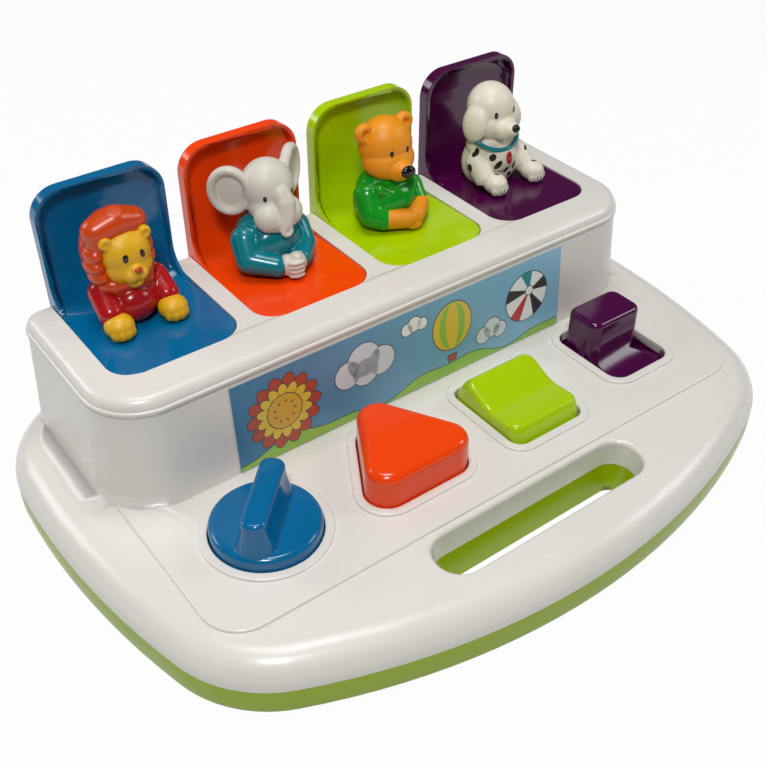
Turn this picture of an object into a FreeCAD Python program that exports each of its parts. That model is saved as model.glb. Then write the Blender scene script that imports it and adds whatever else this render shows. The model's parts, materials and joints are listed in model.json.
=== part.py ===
"""Pop up animal toy: four spring lids with animals, each let go by a control of its own.

Millimetres. +X to the right, +Y to the rear, +Z up. The origin is the middle of the footprint, on the
surface that the toy stands on. The lids stand open. They close by turning forwards about +X.
"""
import FreeCAD, Part
import math
import os
import re
import Sketcher

Vector = FreeCAD.Vector

os.makedirs("parts", exist_ok=True)
doc = FreeCAD.newDocument("PopUpToy")
sheet = doc.addObject("Spreadsheet::Sheet", "Sizes")

SIZES = (
    # base
    ("base_width", 328.8, "across the widest place of the base"),
    ("base_depth", 223.9, "front bow to rear edge"),
    ("front_bow", 301.3, "plan radius of the front edge"),
    ("side_bow", 366.3, "plan radius of the side edges"),
    ("widest_y", 41.4, "where the sides bow out furthest"),
    ("front_corner", 52.2, "plan radius of the front corners"),
    ("rear_corner", 50.6, "plan radius of the rear corners"),
    ("skirt_height", 12.2, "height of the coloured bottom shell"),
    ("skirt_round", 1.5, "rounding of the bottom shell's lower edge"),
    ("wall", 2.4, "wall of the moulded shells"),
    ("lip_height", 2.5, "how far the bottom shell's lip reaches into the deck"),
    ("lip_wall", 1.6, "wall of that lip"),
    ("lip_gap", 0.45, "from that lip to the deck's wall"),
    ("fit_gap", 0.2, "gap between pieces that plug together"),
    ("deck_height", 24.7, "top of the deck's border"),
    ("deck_round", 12, "rounding of the deck's outer edge"),
    ("plateau_height", 26, "top of the raised control panel"),
    ("plateau_side", 25.4, "from the widest place of the base to the control panel"),
    ("plateau_front", -64.1, "front edge of the control panel"),
    ("plateau_corner", 17, "front corners of the control panel"),
    ("plateau_round", 0.9, "rounding of the control panel's edge"),
    # hand slot
    ("slot_width", 108, "hand slot, end to end at its mouth"),
    ("slot_front", -88.5, "front side of the hand slot"),
    ("slot_rear", -66.6, "rear side of the hand slot"),
    ("slot_corner", 10.5, "rounding of the slot's ends"),
    ("slot_draft", 5, "lean of the slot's upper wall, degrees"),
    ("slot_foot_draft", 16, "lean of the slot's lower wall, degrees"),
    ("slot_seam", 12.4, "where the slot's upper and lower walls meet"),
    ("slot_wall", 2.2, "wall around the slot"),
    ("slot_lead", 2.2, "rounding of the slot's mouth"),
    # box
    ("box_side", 22.4, "from the widest place of the base to the foot of the box"),
    ("box_front", 7.6, "front of the box at its foot"),
    ("box_rear", 98, "rear of the box at its foot"),
    ("box_corner", 27, "upright front corners of the box"),
    ("box_rear_corner", 11, "upright rear corners of the box"),
    ("box_draft", 4, "lean of the box walls, degrees"),
    ("cap_base", 73.5, "top of the walls, underside of the cap"),
    ("bead_height", 2, "bead around the top of the walls"),
    ("bead_proud", 0.9, "how far the bead stands out"),
    ("bead_round", 0.8, "rounding of that bead"),
    ("cap_top", 78.2, "top of the cap"),
    ("cap_round", 4.4, "rounding of the cap's outer edge"),
    ("rear_notch", 66.2, "lower edge of the notches in the rear wall"),
    # lids
    ("row_side", 34.4, "from the widest place of the base to the row of lids"),
    ("lid_space", 8.8, "from one lid to the next"),
    ("lid_gap", 0.3, "gap around a closed lid"),
    ("hinge_y", 87.85, "hinge axis from the middle of the base"),
    ("hinge_z", 71.35, "height of the hinge axis"),
    ("panel_back", 94.7, "rear face of an open lid"),
    ("panel_depth", 6, "depth of the lid's rim"),
    ("panel_top", 130, "top of an open lid"),
    ("panel_foot", 66.5, "lower edge of an open lid"),
    ("panel_corner", 12.5, "outer corners of a lid"),
    ("lid_skin", 2, "skin of the lid's panel"),
    ("lid_wall", 2.2, "rim and floor of a lid"),
    ("lid_round", 1, "rounding of the lid's edges"),
    ("floor_top", 77.7, "top of the lid's floor"),
    ("floor_corner", 11, "front corners of the lid's floor"),
    ("flare_height", 13.3, "where the rim starts to flare forwards, above the floor"),
    ("flare_reach", 12.7, "how far the rim flares forwards"),
    ("flare_round", 11.4, "hollow curve of the flare"),
    ("opening_corner", 11.5, "front corners of the cap's openings"),
    ("ear_radius", 3.9, "hinge ears of the lids"),
    ("ear_width", 3.2, "thickness of a hinge ear"),
    ("pin_radius", 1.5, "hinge and pivot pins"),
    ("pin_play", 0.05, "radial play of a turning pin"),
    ("pin_hold", 3.5, "length of a hinge pin inside each lug"),
    ("lug_depth", 6.6, "depth of the hinge lugs under the cap"),
    ("lug_drop", 5.6, "how far the hinge lugs hang below the cap"),
    # springs
    ("wire_radius", 0.4, "wire of all springs"),
    ("lid_spring_radius", 2.6, "coil radius of the lid springs"),
    ("lid_spring_pitch", 1.6, "coil pitch of the lid springs"),
    ("lid_spring_length", 4.8, "length of a lid spring"),
    ("latch_spring_radius", 3.1, "coil radius of the latch springs"),
    ("latch_spring_pitch", 3.4, "coil pitch of the latch springs"),
    # latches
    ("latch_base", 6, "underside of the latch bars"),
    ("latch_thick", 3, "thickness of the latch bars"),
    ("latch_width", 8, "width of the latch bars"),
    ("latch_travel", 3, "how far a control pushes its latch down"),
    ("nose_gap", 0.2, "from the latch nose to the closed lid"),
    ("nose_thick", 1.3, "thickness of the latch nose"),
    ("nose_top", 14.2, "top of the latch nose"),
    ("cup_y", 22, "place of the latch spring"),
    ("cup_radius", 5.2, "cup over the latch spring"),
    ("cup_wall", 1.2, "wall of that cup"),
    ("cup_top", 15, "top of that cup"),
    ("guide_y", 66, "place of the rear guide post"),
    ("guide_top", 12, "top of the rear guide post"),
    ("post_radius", 2, "guide posts of the latches"),
    ("post_play", 0.15, "gap around a guide post"),
    ("touch_gap", 0.3, "from a control's foot to its latch"),
    ("arm_gap", 4, "from the dial's hub to its latch"),
    ("arm_width", 5, "width of that latch's side arm"),
    ("ramp_place", 10, "from the slider's hole to its latch's block"),
    ("ramp_half", 3, "half length of that block"),
    ("ramp_rise", 5, "height of that block over its bar"),
    ("rib_lap", 4, "how far the slider's rib reaches past the block's middle"),
    # controls
    ("bezel_width", 4, "width of the raised rings around the controls"),
    ("bezel_height", 1.2, "height of those rings"),
    ("bezel_round", 0.8, "rounding of those rings"),
    ("flange_thick", 2.5, "flange that keeps a control under the deck"),
    ("flange_reach", 2, "how far that flange reaches under the deck"),
    ("control_gap", 0.6, "gap between a control and its hole"),
    ("knob_y", -25, "place of the dial"),
    ("knob_hole", 23, "radius of the dial's hole"),
    ("knob_top", 32.2, "top of the dial's disc"),
    ("knob_round", 2.4, "rounding of the dial's disc"),
    ("grip_top", 47, "top of the dial's grip"),
    ("grip_length", 39, "length of the grip at its top"),
    ("grip_width", 10.5, "width of the grip at its top"),
    ("grip_foot_length", 42.4, "length of the grip at its foot"),
    ("grip_foot_width", 17, "width of the grip at its foot"),
    ("grip_waist_width", 11.4, "width of the grip where its foot has flared in"),
    ("grip_waist_length", 40, "length of the grip at that height"),
    ("grip_waist", 7, "height of that place over the disc"),
    ("grip_turn", 45, "how far the grip is turned, degrees"),
    ("grip_round", 2, "rounding of the grip's top"),
    ("hub_radius", 6, "hub of the dial"),
    ("hub_base", 10.7, "top of the hub's seat"),
    ("hub_bore", 3.05, "bore of the hub"),
    ("stud_top", 18, "top of the stud that the hub turns on"),
    ("peg_place", 13, "from the dial's axis to its peg"),
    ("peg_radius", 2, "radius of that peg"),
    ("knob_sweep", 45, "how far the dial turns, degrees"),
    ("button_front", -46.8, "flat side of the three-cornered button"),
    ("button_side", 64.6, "side of the button's triangle before rounding"),
    ("button_corner", 10, "corners of the button"),
    ("button_top", 42.5, "top of the button"),
    ("button_round", 4, "rounding of the button's top edge"),
    ("button_stem", 7, "width of the button's stem"),
    ("stem_place", 18, "from the button's flat side to its stem"),
    ("rocker_y", -26.3, "pivot of the rocker"),
    ("rocker_z", 21, "height of the rocker's pivot"),
    ("rocker_hole_width", 40, "width of the rocker's hole"),
    ("rocker_hole_depth", 46, "depth of the rocker's hole"),
    ("rocker_hole_corner", 6, "corners of the rocker's hole"),
    ("rocker_radius", 22.3, "round ends of the rocker"),
    ("rocker_valley", 11.2, "height of the rocker's middle over its pivot"),
    ("rocker_wing", 14.3, "rise of the rocker's wings, degrees"),
    ("rocker_rest", 9.4, "tilt at rest, front down, degrees"),
    ("rocker_skirt", 4.2, "how far the rocker reaches below its pivot"),
    ("rocker_round", 2.6, "rounding of the rocker's top edges"),
    ("rocker_blend", 14, "hollow blend between the rocker's wings"),
    ("rocker_arm", 9.14, "from the pivot to the rocker's foot"),
    ("slider_y", -21.8, "middle of the slider's hole"),
    ("slider_hole_width", 36, "width of the slider's hole"),
    ("slider_hole_depth", 42, "length of the slider's hole"),
    ("slider_hole_corner", 7, "corners of the slider's hole"),
    ("slider_width", 31, "width of the slider's grip"),
    ("slider_depth", 19.5, "depth of the slider's grip"),
    ("slider_corner", 5, "corners of the slider's grip"),
    ("slider_top", 44.5, "top of the slider's grip"),
    ("slider_round", 2.5, "rounding of the slider's grip"),
    ("slider_end_gap", 3.5, "from the grip at rest to the rear end of its hole"),
    ("slider_travel", 17, "travel of the slider"),
    ("carriage_thick", 2.1, "plate under the slider's grip"),
    ("carriage_lap", 1.5, "how far that plate reaches under the deck"),
    ("rail_wall", 2.2, "rails beside that plate"),
    ("keeper_width", 5.5, "strips that carry that plate"),
    ("keeper_thick", 1.5, "thickness of those strips"),
    # picture, figures and screws
    ("label_width", 178.6, "width of the picture"),
    ("label_low", 26.7, "lower edge of the picture"),
    ("label_high", 68.8, "upper edge of the picture"),
    ("label_thick", 0.4, "thickness of the picture's card"),
    ("figure_height", 50, "height of the animals over their floors"),
    ("figure_y", 68, "middle of the animals on their floors"),
    ("figure_screw", 1.25, "shank radius of the animals' screws"),
    ("screw_play", 0.05, "gap around a screw"),
    ("screw_head", 2.5, "head radius of the animals' screws"),
    ("screw_head_height", 1.6, "head height of all screws"),
    ("screw_spread", 6, "from a lid's middle to each screw"),
    ("screw_bite", 6, "how far a screw reaches into its animal"),
    ("case_screw", 1.5, "shank radius of the case screws"),
    ("case_head", 2.9, "head radius of the case screws"),
    ("case_post", 4.6, "radius of the screw posts"),
    ("boss_radius", 3.6, "radius of the deck's bosses on those posts"),
    ("boss_root", 0.5, "how far those bosses reach into the deck's roof"),
    ("case_recess", 4, "depth of the recesses for the screw heads"),
    ("case_side", 17.4, "from the widest place of the base to the side screws"),
    ("case_fore", -34, "place of the forward side screws"),
    ("case_aft", 52, "place of the rearward side screws"),
    ("past", 1, "how far a cut runs past what it cuts"),
)
for row, (name, value, meaning) in enumerate(SIZES, start=1):
    sheet.set("A%d" % row, meaning)
    sheet.set("B%d" % row, str(value))
    sheet.setAlias("B%d" % row, name)
doc.recompute()

LIDS = (("blue", "lion"), ("orange", "elephant"), ("lime", "bear"), ("purple", "puppy"))
NAMED = {name: "Sizes." + name for name, _, _ in SIZES}
DERIVED = {
    "plateau_width": "(base_width - 2 * plateau_side)",
    "box_width": "(base_width - 2 * box_side)",
    "lid_pitch": "((base_width - 2 * row_side) / 4)",
    "lid_width": "(lid_pitch - lid_space)",
}
pieces = []


def bind(text):
    """Puts the sheet's name before every size in an expression, and writes out the derived sizes."""
    def full(word):
        name = word.group()
        return bind(DERIVED[name]) if name in DERIVED else NAMED.get(name, name)
    return re.sub("[A-Za-z_.]+", full, text)


def number(text):
    """The present value of an expression."""
    return float(sheet.evalExpression(bind(text)))


def lid_middle(index):
    """Expression of a lid's middle in X."""
    return "lid_pitch * (%g)" % (index - 1.5)


def new_body(label):
    """A sub-part that is built from features."""
    body = doc.addObject("PartDesign::Body", label)
    body.Label = label
    pieces.append(body)
    return body


def move(piece, **places):
    """Binds the place of a piece to sizes."""
    for axis, text in places.items():
        piece.setExpression("Placement.Base." + axis, bind(text))


def new_sketch(body, name, role="XY_Plane", offset="0"):
    """A sketch on one of the body's own planes, moved along that plane's normal."""
    sketch = body.newObject("Sketcher::SketchObject", name)
    plane = next(item for item in body.Origin.OriginFeatures if item.Role == role)
    sketch.AttachmentSupport = [(plane, "")]
    sketch.MapMode = "FlatFace"
    sketch.setExpression(".AttachmentOffset.Base.z", bind(offset))
    return sketch


def hold(sketch, kind, text, *places):
    """Adds a sketch constraint whose value is an expression."""
    index = sketch.addConstraint(Sketcher.Constraint(kind, *places, number(text)))
    sketch.setExpression("Constraints[%d]" % index, bind(text))


def hold_point(sketch, geometry, place, x, y):
    """Fixes a point of the sketch."""
    hold(sketch, "DistanceX", x, -1, 1, geometry, place)
    hold(sketch, "DistanceY", y, -1, 1, geometry, place)


def arc_between(centre, radius, start, end):
    """An arc that runs counter-clockwise from start to end."""
    first = math.atan2(start.y - centre.y, start.x - centre.x)
    last = math.atan2(end.y - centre.y, end.x - centre.x)
    if last <= first:
        last += 2 * math.pi
    return Part.ArcOfCircle(Part.Circle(centre, Vector(0, 0, 1), radius), first, last)


def circle(sketch, x, y, radius):
    """A full circle."""
    centre = Vector(number(x), number(y), 0)
    index = sketch.addGeometry(Part.Circle(centre, Vector(0, 0, 1), number(radius)), False)
    hold_point(sketch, index, 3, x, y)
    hold(sketch, "Radius", radius, index)


def loop(sketch, corners):
    """A closed outline, counter-clockwise. Each corner is x, y and the radius that rounds it, or None."""
    points = [Vector(number(x), number(y), 0) for x, y, _ in corners]
    count = len(points)
    arcs, ends = [None] * count, []
    for index, (_, _, radius) in enumerate(corners):
        here = points[index]
        back = (points[index - 1] - here).normalize()
        ahead = (points[(index + 1) % count] - here).normalize()
        if radius is None:
            ends.append((here, here))
            continue
        half = back.getAngle(ahead) / 2
        reach = number(radius) / math.tan(half)
        centre = here + (back + ahead).normalize() * (number(radius) / math.sin(half))
        start, end = here + back * reach, here + ahead * reach
        turns_left = back.cross(ahead).z < 0
        arc = arc_between(centre, number(radius), *((start, end) if turns_left else (end, start)))
        arcs[index] = (sketch.addGeometry(arc, False), (1, 2) if turns_left else (2, 1))
        ends.append((start, end))
    sides = []
    for index in range(count):
        line = Part.LineSegment(ends[index][1], ends[(index + 1) % count][0])
        sides.append(sketch.addGeometry(line, False))
    for index, (x, y, radius) in enumerate(corners):
        before, after = sides[index - 1], sides[index]
        if radius is None:
            sketch.addConstraint(Sketcher.Constraint("Coincident", before, 2, after, 1))
            hold_point(sketch, after, 1, x, y)
            continue
        arc, (first, last) = arcs[index]
        point = sketch.addGeometry(Part.Point(points[index]), True)
        sketch.addConstraint(Sketcher.Constraint("Tangent", before, 2, arc, first))
        sketch.addConstraint(Sketcher.Constraint("Tangent", arc, last, after, 1))
        sketch.addConstraint(Sketcher.Constraint("PointOnObject", point, 1, before))
        sketch.addConstraint(Sketcher.Constraint("PointOnObject", point, 1, after))
        hold_point(sketch, point, 1, x, y)
        hold(sketch, "Radius", radius, arc)


def box_loop(sketch, left, right, low, high, corner=None, far_corner="same"):
    """An upright rectangle with rounded corners; far_corner rounds the two at the high side."""
    far = corner if far_corner == "same" else far_corner
    loop(sketch, ((left, low, corner), (right, low, corner), (right, high, far), (left, high, far)))


def extrude(body, name, kind, sketch, length, reverse=False, taper=None):
    """A pad or pocket of a sketch."""
    feature = body.newObject("PartDesign::" + kind, name)
    feature.Profile = sketch
    feature.Reversed = reverse
    feature.setExpression("Length", bind(length))
    if taper:
        feature.setExpression("TaperAngle", bind(taper))
    sketch.Visibility = False
    return feature


def pad(body, name, sketch, length, reverse=False, taper=None):
    """Adds a prism."""
    return extrude(body, name, "Pad", sketch, length, reverse, taper)


def pocket(body, name, sketch, length, reverse=False, taper=None):
    """Cuts a prism."""
    return extrude(body, name, "Pocket", sketch, length, reverse, taper)


def soften(body, name, radius, chosen, kind="Fillet"):
    """Rounds the edges that a test picks out."""
    doc.recompute()
    base = body.Tip
    edges = ["Edge%d" % (index + 1) for index, edge in enumerate(base.Shape.Edges) if chosen(edge)]
    if not edges:
        raise RuntimeError("no edge to round: " + body.Label + " " + name)
    feature = body.newObject("PartDesign::" + kind, name)
    feature.Base = (base, edges)
    feature.setExpression("Radius" if kind == "Fillet" else "Size", bind(radius))
    return feature


def near(first, second, reach=0.05):
    """True where two numbers agree."""
    return abs(first - second) < reach


def level_at(edge, height):
    """True where an edge lies flat at a height."""
    return near(edge.BoundBox.ZMin, height) and near(edge.BoundBox.ZMax, height)


# --- plan of the base: three bows, a straight rear edge and four round corners -------------------------

def base_centres():
    """Centres of the front bow, the right bow, the front right corner and the rear right corner."""
    front = Vector(0, number("front_bow - base_depth / 2"), 0)
    side = Vector(number("base_width / 2 - side_bow"), number("widest_y"), 0)
    reach, swing = number("front_bow - front_corner"), number("side_bow - front_corner")
    between = side - front
    along = (reach ** 2 - swing ** 2 + between.Length ** 2) / (2 * between.Length)
    across = math.sqrt(reach ** 2 - along ** 2)
    ahead = Vector(between).normalize()
    front_corner = front + ahead * along + Vector(-ahead.y, ahead.x, 0) * across
    if front_corner.x < 0:
        front_corner = front + ahead * along - Vector(-ahead.y, ahead.x, 0) * across
    rear_y = number("base_depth / 2 - rear_corner")
    rear_x = side.x + math.sqrt(number("side_bow - rear_corner") ** 2 - (rear_y - side.y) ** 2)
    return front, side, front_corner, Vector(rear_x, rear_y, 0)


def mirrored(point):
    """The same point on the left."""
    return Vector(-point.x, point.y, 0)


def base_loop(sketch, inset):
    """The plan of the base, moved inwards: every arc keeps its centre."""
    front, side, front_corner, rear_corner = base_centres()
    front_join = front + (front_corner - front).normalize() * (number("front_bow") - number(inset))
    side_join = side + (front_corner - side).normalize() * (number("side_bow") - number(inset))
    rear_join = side + (rear_corner - side).normalize() * (number("side_bow") - number(inset))
    rear_end = rear_corner + Vector(0, number("rear_corner") - number(inset), 0)
    side_x = "(base_width / 2 - side_bow)"
    left_side = ("-1 * " + side_x, "widest_y")
    arcs = (
        (front, "front_bow", mirrored(front_join), front_join, ("0", "front_bow - base_depth / 2")),
        (front_corner, "front_corner", front_join, side_join, None),
        (side, "side_bow", side_join, rear_join, (side_x, "widest_y")),
        (rear_corner, "rear_corner", rear_join, rear_end, None),
        (mirrored(rear_corner), "rear_corner", mirrored(rear_end), mirrored(rear_join), None),
        (mirrored(side), "side_bow", mirrored(rear_join), mirrored(side_join), left_side),
        (mirrored(front_corner), "front_corner", mirrored(side_join), mirrored(front_join), None),
    )
    sides = []
    for centre, size, start, end, place in arcs:
        index = sketch.addGeometry(arc_between(centre, number(size) - number(inset), start, end), False)
        hold(sketch, "Radius", "%s - (%s)" % (size, inset), index)
        if place:
            hold_point(sketch, index, 3, *place)
        sides.append(index)
    rear = sketch.addGeometry(Part.LineSegment(rear_end, mirrored(rear_end)), False)
    sides.insert(4, rear)
    for index, side_index in enumerate(sides):
        sketch.addConstraint(Sketcher.Constraint("Tangent", sides[index - 1], 2, side_index, 1))
    sketch.addConstraint(Sketcher.Constraint("Horizontal", rear))
    hold(sketch, "DistanceY", "base_depth / 2 - (%s)" % inset, -1, 1, rear, 1)


def base_prism(body, name, inset, low, height, cut=False):
    """A prism over the plan of the base."""
    sketch = new_sketch(body, name + "Plan", offset=low)
    base_loop(sketch, inset)
    if cut:
        pocket(body, name, sketch, height, reverse=True)
    else:
        pad(body, name, sketch, height)


SEAM_LEAN = "((deck_height - slot_seam) * tan(slot_draft))"


def slot_loop(sketch, outset):
    """The plan of the hand slot's mouth, moved outwards."""
    half = "(slot_width / 2 + (%s))" % outset
    front, rear = "slot_front - (%s)" % outset, "slot_rear + (%s)" % outset
    box_loop(sketch, "-1 * " + half, half, front, rear, "slot_corner + (%s)" % outset)


def case_places():
    """Where the case screws stand."""
    side, beside_slot = "(base_width / 2 - case_side)", "(slot_width / 2 + 2 * case_side)"
    slot_middle = "(slot_front + slot_rear) / 2"
    rows = ((side, "case_fore"), (side, "case_aft"), (beside_slot, slot_middle), ("lid_pitch", "box_rear"))
    return [(sign + x, y) for x, y in rows for sign in ("-1 * ", "")]


# --- bottom shell --------------------------------------------------------------------------------------

def build_bottom_shell():
    """The coloured tray under the toy: floor, lip, slot wall, screw posts and guide posts."""
    body = new_body("bottom_shell")
    base_prism(body, "Skirt", "0", "0", "skirt_height")
    soften(body, "SkirtRound", "skirt_round", lambda edge: level_at(edge, 0))
    base_prism(body, "Lip", "wall + lip_gap", "wall", "skirt_height - wall + lip_height")
    base_prism(body, "Inside", "wall + lip_gap + lip_wall", "wall", "skirt_height + lip_height", cut=True)
    sketch = new_sketch(body, "SlotTube", offset="wall / 2")
    slot_loop(sketch, "slot_wall - %s - (slot_seam - wall / 2) * tan(slot_foot_draft)" % SEAM_LEAN)
    pad(body, "SlotWall", sketch, "slot_seam - fit_gap - wall / 2", taper="slot_foot_draft")
    sketch = new_sketch(body, "SlotPlan", offset="slot_seam")
    slot_loop(sketch, "-1 * " + SEAM_LEAN)
    pocket(body, "Slot", sketch, "slot_seam + past", taper="-1 * slot_foot_draft")
    sketch = new_sketch(body, "PostPlan", offset="wall / 2")
    for x, y in case_places():
        circle(sketch, x, y, "case_post")
    pad(body, "Posts", sketch, "skirt_height - wall / 2")
    sketch = new_sketch(body, "RecessPlan")
    for x, y in case_places():
        circle(sketch, x, y, "case_head + fit_gap")
    pocket(body, "Recesses", sketch, "case_recess", reverse=True)
    sketch = new_sketch(body, "ScrewPlan")
    for x, y in case_places():
        circle(sketch, x, y, "case_screw + screw_play")
    pocket(body, "ScrewHoles", sketch, "skirt_height + 2 * past", reverse=True)
    sketch = new_sketch(body, "GuidePlan", offset="wall / 2")
    for index in range(len(LIDS)):
        circle(sketch, lid_middle(index), "guide_y", "post_radius")
    pad(body, "Guides", sketch, "guide_top - wall / 2")
    sketch = new_sketch(body, "SpringPostPlan", offset="wall / 2")
    for index in range(len(LIDS)):
        circle(sketch, lid_middle(index), "cup_y", "post_radius")
    pad(body, "SpringPosts", sketch, "cup_top + latch_thick - wall / 2")
    sketch = new_sketch(body, "HubSeatPlan", offset="wall / 2")
    circle(sketch, lid_middle(0), "knob_y", "hub_radius")
    pad(body, "HubSeat", sketch, "hub_base - touch_gap - wall / 2")
    sketch = new_sketch(body, "StudPlan", offset="wall / 2")
    circle(sketch, lid_middle(0), "knob_y", "hub_bore - pin_play")
    pad(body, "Stud", sketch, "stud_top - wall / 2")


# --- deck with the walls of the box --------------------------------------------------------------------

def triangle_loop(sketch, outset):
    """The button's triangle, flat side to the front, moved outwards."""
    middle, height = lid_middle(1), "button_side * sqrt(3) / 2"
    half = "(button_side / 2 + sqrt(3) * (%s))" % outset
    radius = "button_corner + (%s)" % outset
    front = "button_front - (%s)" % outset
    loop(sketch, (
        ("%s - %s" % (middle, half), front, radius),
        ("%s + %s" % (middle, half), front, radius),
        (middle, "button_front + %s + 2 * (%s)" % (height, outset), radius),
    ))


def rocker_loop(sketch, outset):
    """The plan of the rocker's hole, moved outwards."""
    middle = lid_middle(2)
    box_loop(sketch, "%s - rocker_hole_width / 2 - (%s)" % (middle, outset),
             "%s + rocker_hole_width / 2 + (%s)" % (middle, outset),
             "rocker_y - rocker_hole_depth / 2 - (%s)" % outset,
             "rocker_y + rocker_hole_depth / 2 + (%s)" % outset, "rocker_hole_corner + (%s)" % outset)


def slider_loop(sketch, outset):
    """The plan of the slider's hole, moved outwards."""
    middle = lid_middle(3)
    box_loop(sketch, "%s - slider_hole_width / 2 - (%s)" % (middle, outset),
             "%s + slider_hole_width / 2 + (%s)" % (middle, outset),
             "slider_y - slider_hole_depth / 2 - (%s)" % outset,
             "slider_y + slider_hole_depth / 2 + (%s)" % outset, "slider_hole_corner + (%s)" % outset)


def knob_loop(sketch, outset):
    """The plan of the dial's hole, moved outwards."""
    circle(sketch, lid_middle(0), "knob_y", "knob_hole + (%s)" % outset)


def wall_loop(sketch, inset, height):
    """The plan of the box at a height, moved inwards; the walls lean in by the draft."""
    lean = "((%s) - deck_height) * tan(box_draft)" % height
    side = "(box_width / 2 - (%s) - %s)" % (inset, lean)
    box_loop(sketch, "-1 * " + side, side, "box_front + (%s) + %s" % (inset, lean),
             "box_rear - (%s) - %s" % (inset, lean), "box_corner - (%s) - %s" % (inset, lean),
             "box_rear_corner - (%s) - %s" % (inset, lean))


def build_deck_shell():
    """The white upper shell: bowed deck, raised control panel with rimmed holes, and the box walls."""
    body = new_body("deck_shell")
    ceiling = "(deck_height - wall)"
    base_prism(body, "Deck", "0", "skirt_height", "deck_height - skirt_height")
    base_prism(body, "Hollow", "wall", "skirt_height", "deck_height - wall - skirt_height", cut=True)
    roof = number(ceiling)
    soften(body, "HollowRound", "deck_round - wall", lambda edge: level_at(edge, roof))
    top = number("deck_height")
    soften(body, "DeckRound", "deck_round", lambda edge: level_at(edge, top))
    sketch = new_sketch(body, "PanelPlan", offset=ceiling + " + wall / 2")
    box_loop(sketch, "-1 * plateau_width / 2", "plateau_width / 2", "plateau_front",
             "box_front + box_corner", "plateau_corner", None)
    pad(body, "Panel", sketch, "plateau_height - deck_height + wall / 2")
    flat = number("plateau_height")
    soften(body, "PanelRound", "plateau_round",
           lambda edge: level_at(edge, flat) and edge.BoundBox.YMin < number("box_front"))
    start = "deck_height - wall"
    sketch = new_sketch(body, "WallPlan", offset=start)
    wall_loop(sketch, "0", start)
    pad(body, "Walls", sketch, "cap_base - (%s)" % start, taper="-1 * box_draft")
    sketch = new_sketch(body, "BeadPlan", offset="cap_base - bead_height")
    wall_loop(sketch, "-1 * bead_proud", "cap_base")
    pad(body, "Bead", sketch, "bead_height")
    rim = number("cap_base")
    soften(body, "BeadRound", "bead_round", lambda edge: level_at(edge, rim))
    sketch = new_sketch(body, "WellPlan", offset=start)
    wall_loop(sketch, "wall", start)
    pocket(body, "Well", sketch, "cap_base - (%s) + past" % start, reverse=True, taper="-1 * box_draft")
    for index in range(len(LIDS)):
        middle = lid_middle(index)
        sketch = new_sketch(body, "Notch%d" % index, "XZ_Plane", "-1 * box_rear - 5 * past")
        left, right = (middle + sign + "(lid_width / 2 + lid_gap)" for sign in (" - ", " + "))
        box_loop(sketch, left, right, "rear_notch", "cap_base + past")
        pocket(body, "RearNotch%d" % index, sketch, "box_rear + 5 * past - hinge_y", reverse=True)
    shapes = (("Knob", knob_loop), ("Button", triangle_loop),
              ("Rocker", rocker_loop), ("Slider", slider_loop))
    for name, shape in shapes:
        sketch = new_sketch(body, name + "BezelPlan", offset="plateau_height - wall / 2")
        shape(sketch, "bezel_width")
        pad(body, name + "Bezel", sketch, "bezel_height + wall / 2")
    crest = number("plateau_height + bezel_height")
    soften(body, "BezelRound", "bezel_round", lambda edge: level_at(edge, crest))
    sketch = new_sketch(body, "RockerCollarPlan", offset="rocker_z - 2.5 * pin_radius")
    rocker_loop(sketch, "wall")
    pad(body, "RockerCollar", sketch, "deck_height - rocker_z + 2.5 * pin_radius")
    sketch = new_sketch(body, "RailPlan", offset=ceiling + " - touch_gap - carriage_thick - touch_gap")
    rail = "(slider_hole_width / 2 + carriage_lap + touch_gap)"
    low, high = ("slider_y" + sign + "(slider_hole_depth / 2 + slider_travel)" for sign in (" - ", " + "))
    for side in (-1, 1):
        inner = "%s + (%d) * %s" % (lid_middle(3), side, rail)
        outer = "%s + (%d) * (%s + rail_wall)" % (lid_middle(3), side, rail)
        left, right = (outer, inner) if side < 0 else (inner, outer)
        box_loop(sketch, left, right, low, high)
    pad(body, "Rails", sketch, "touch_gap * 2 + carriage_thick + wall / 2")
    above = "plateau_height + bezel_height + past"
    for name, shape in shapes:
        sketch = new_sketch(body, name + "HolePlan", offset=above)
        shape(sketch, "0")
        pocket(body, name + "Hole", sketch, above + " - rocker_z + 3 * pin_radius")
    soften(body, "HoleRound", "bezel_round", lambda edge: level_at(edge, crest))
    sketch = new_sketch(body, "RockerPinPlan", "YZ_Plane", lid_middle(2) + " - rocker_hole_width")
    circle(sketch, "rocker_y", "rocker_z", "pin_radius")
    pocket(body, "RockerPinHole", sketch, "rocker_hole_width * 2", reverse=True)
    sketch = new_sketch(body, "SlotTube", offset="slot_seam")
    slot_loop(sketch, "slot_wall - " + SEAM_LEAN)
    pad(body, "SlotWall", sketch, "deck_height - wall / 2 - slot_seam", taper="slot_draft")
    sketch = new_sketch(body, "SlotPlan", offset="deck_height + past")
    slot_loop(sketch, "past * tan(slot_draft)")
    pocket(body, "Slot", sketch, "deck_height - slot_seam + 2 * past", taper="-1 * slot_draft")
    front, rear = number("slot_front - past"), number("slot_rear + past")
    soften(body, "SlotLead", "slot_lead", lambda edge: level_at(edge, top)
           and edge.BoundBox.YMin > front and edge.BoundBox.YMax < rear)
    sketch = new_sketch(body, "BossPlan", offset="skirt_height + fit_gap")
    for x, y in case_places():
        circle(sketch, x, y, "boss_radius")
    pad(body, "Bosses", sketch, "deck_height - wall + boss_root - skirt_height - fit_gap")
    sketch = new_sketch(body, "PilotPlan", offset="skirt_height")
    for x, y in case_places():
        circle(sketch, x, y, "case_screw + screw_play")
    pocket(body, "Pilots", sketch, "deck_height - deck_round / 2 - skirt_height", reverse=True)


# --- cap of the box ------------------------------------------------------------------------------------

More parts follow.
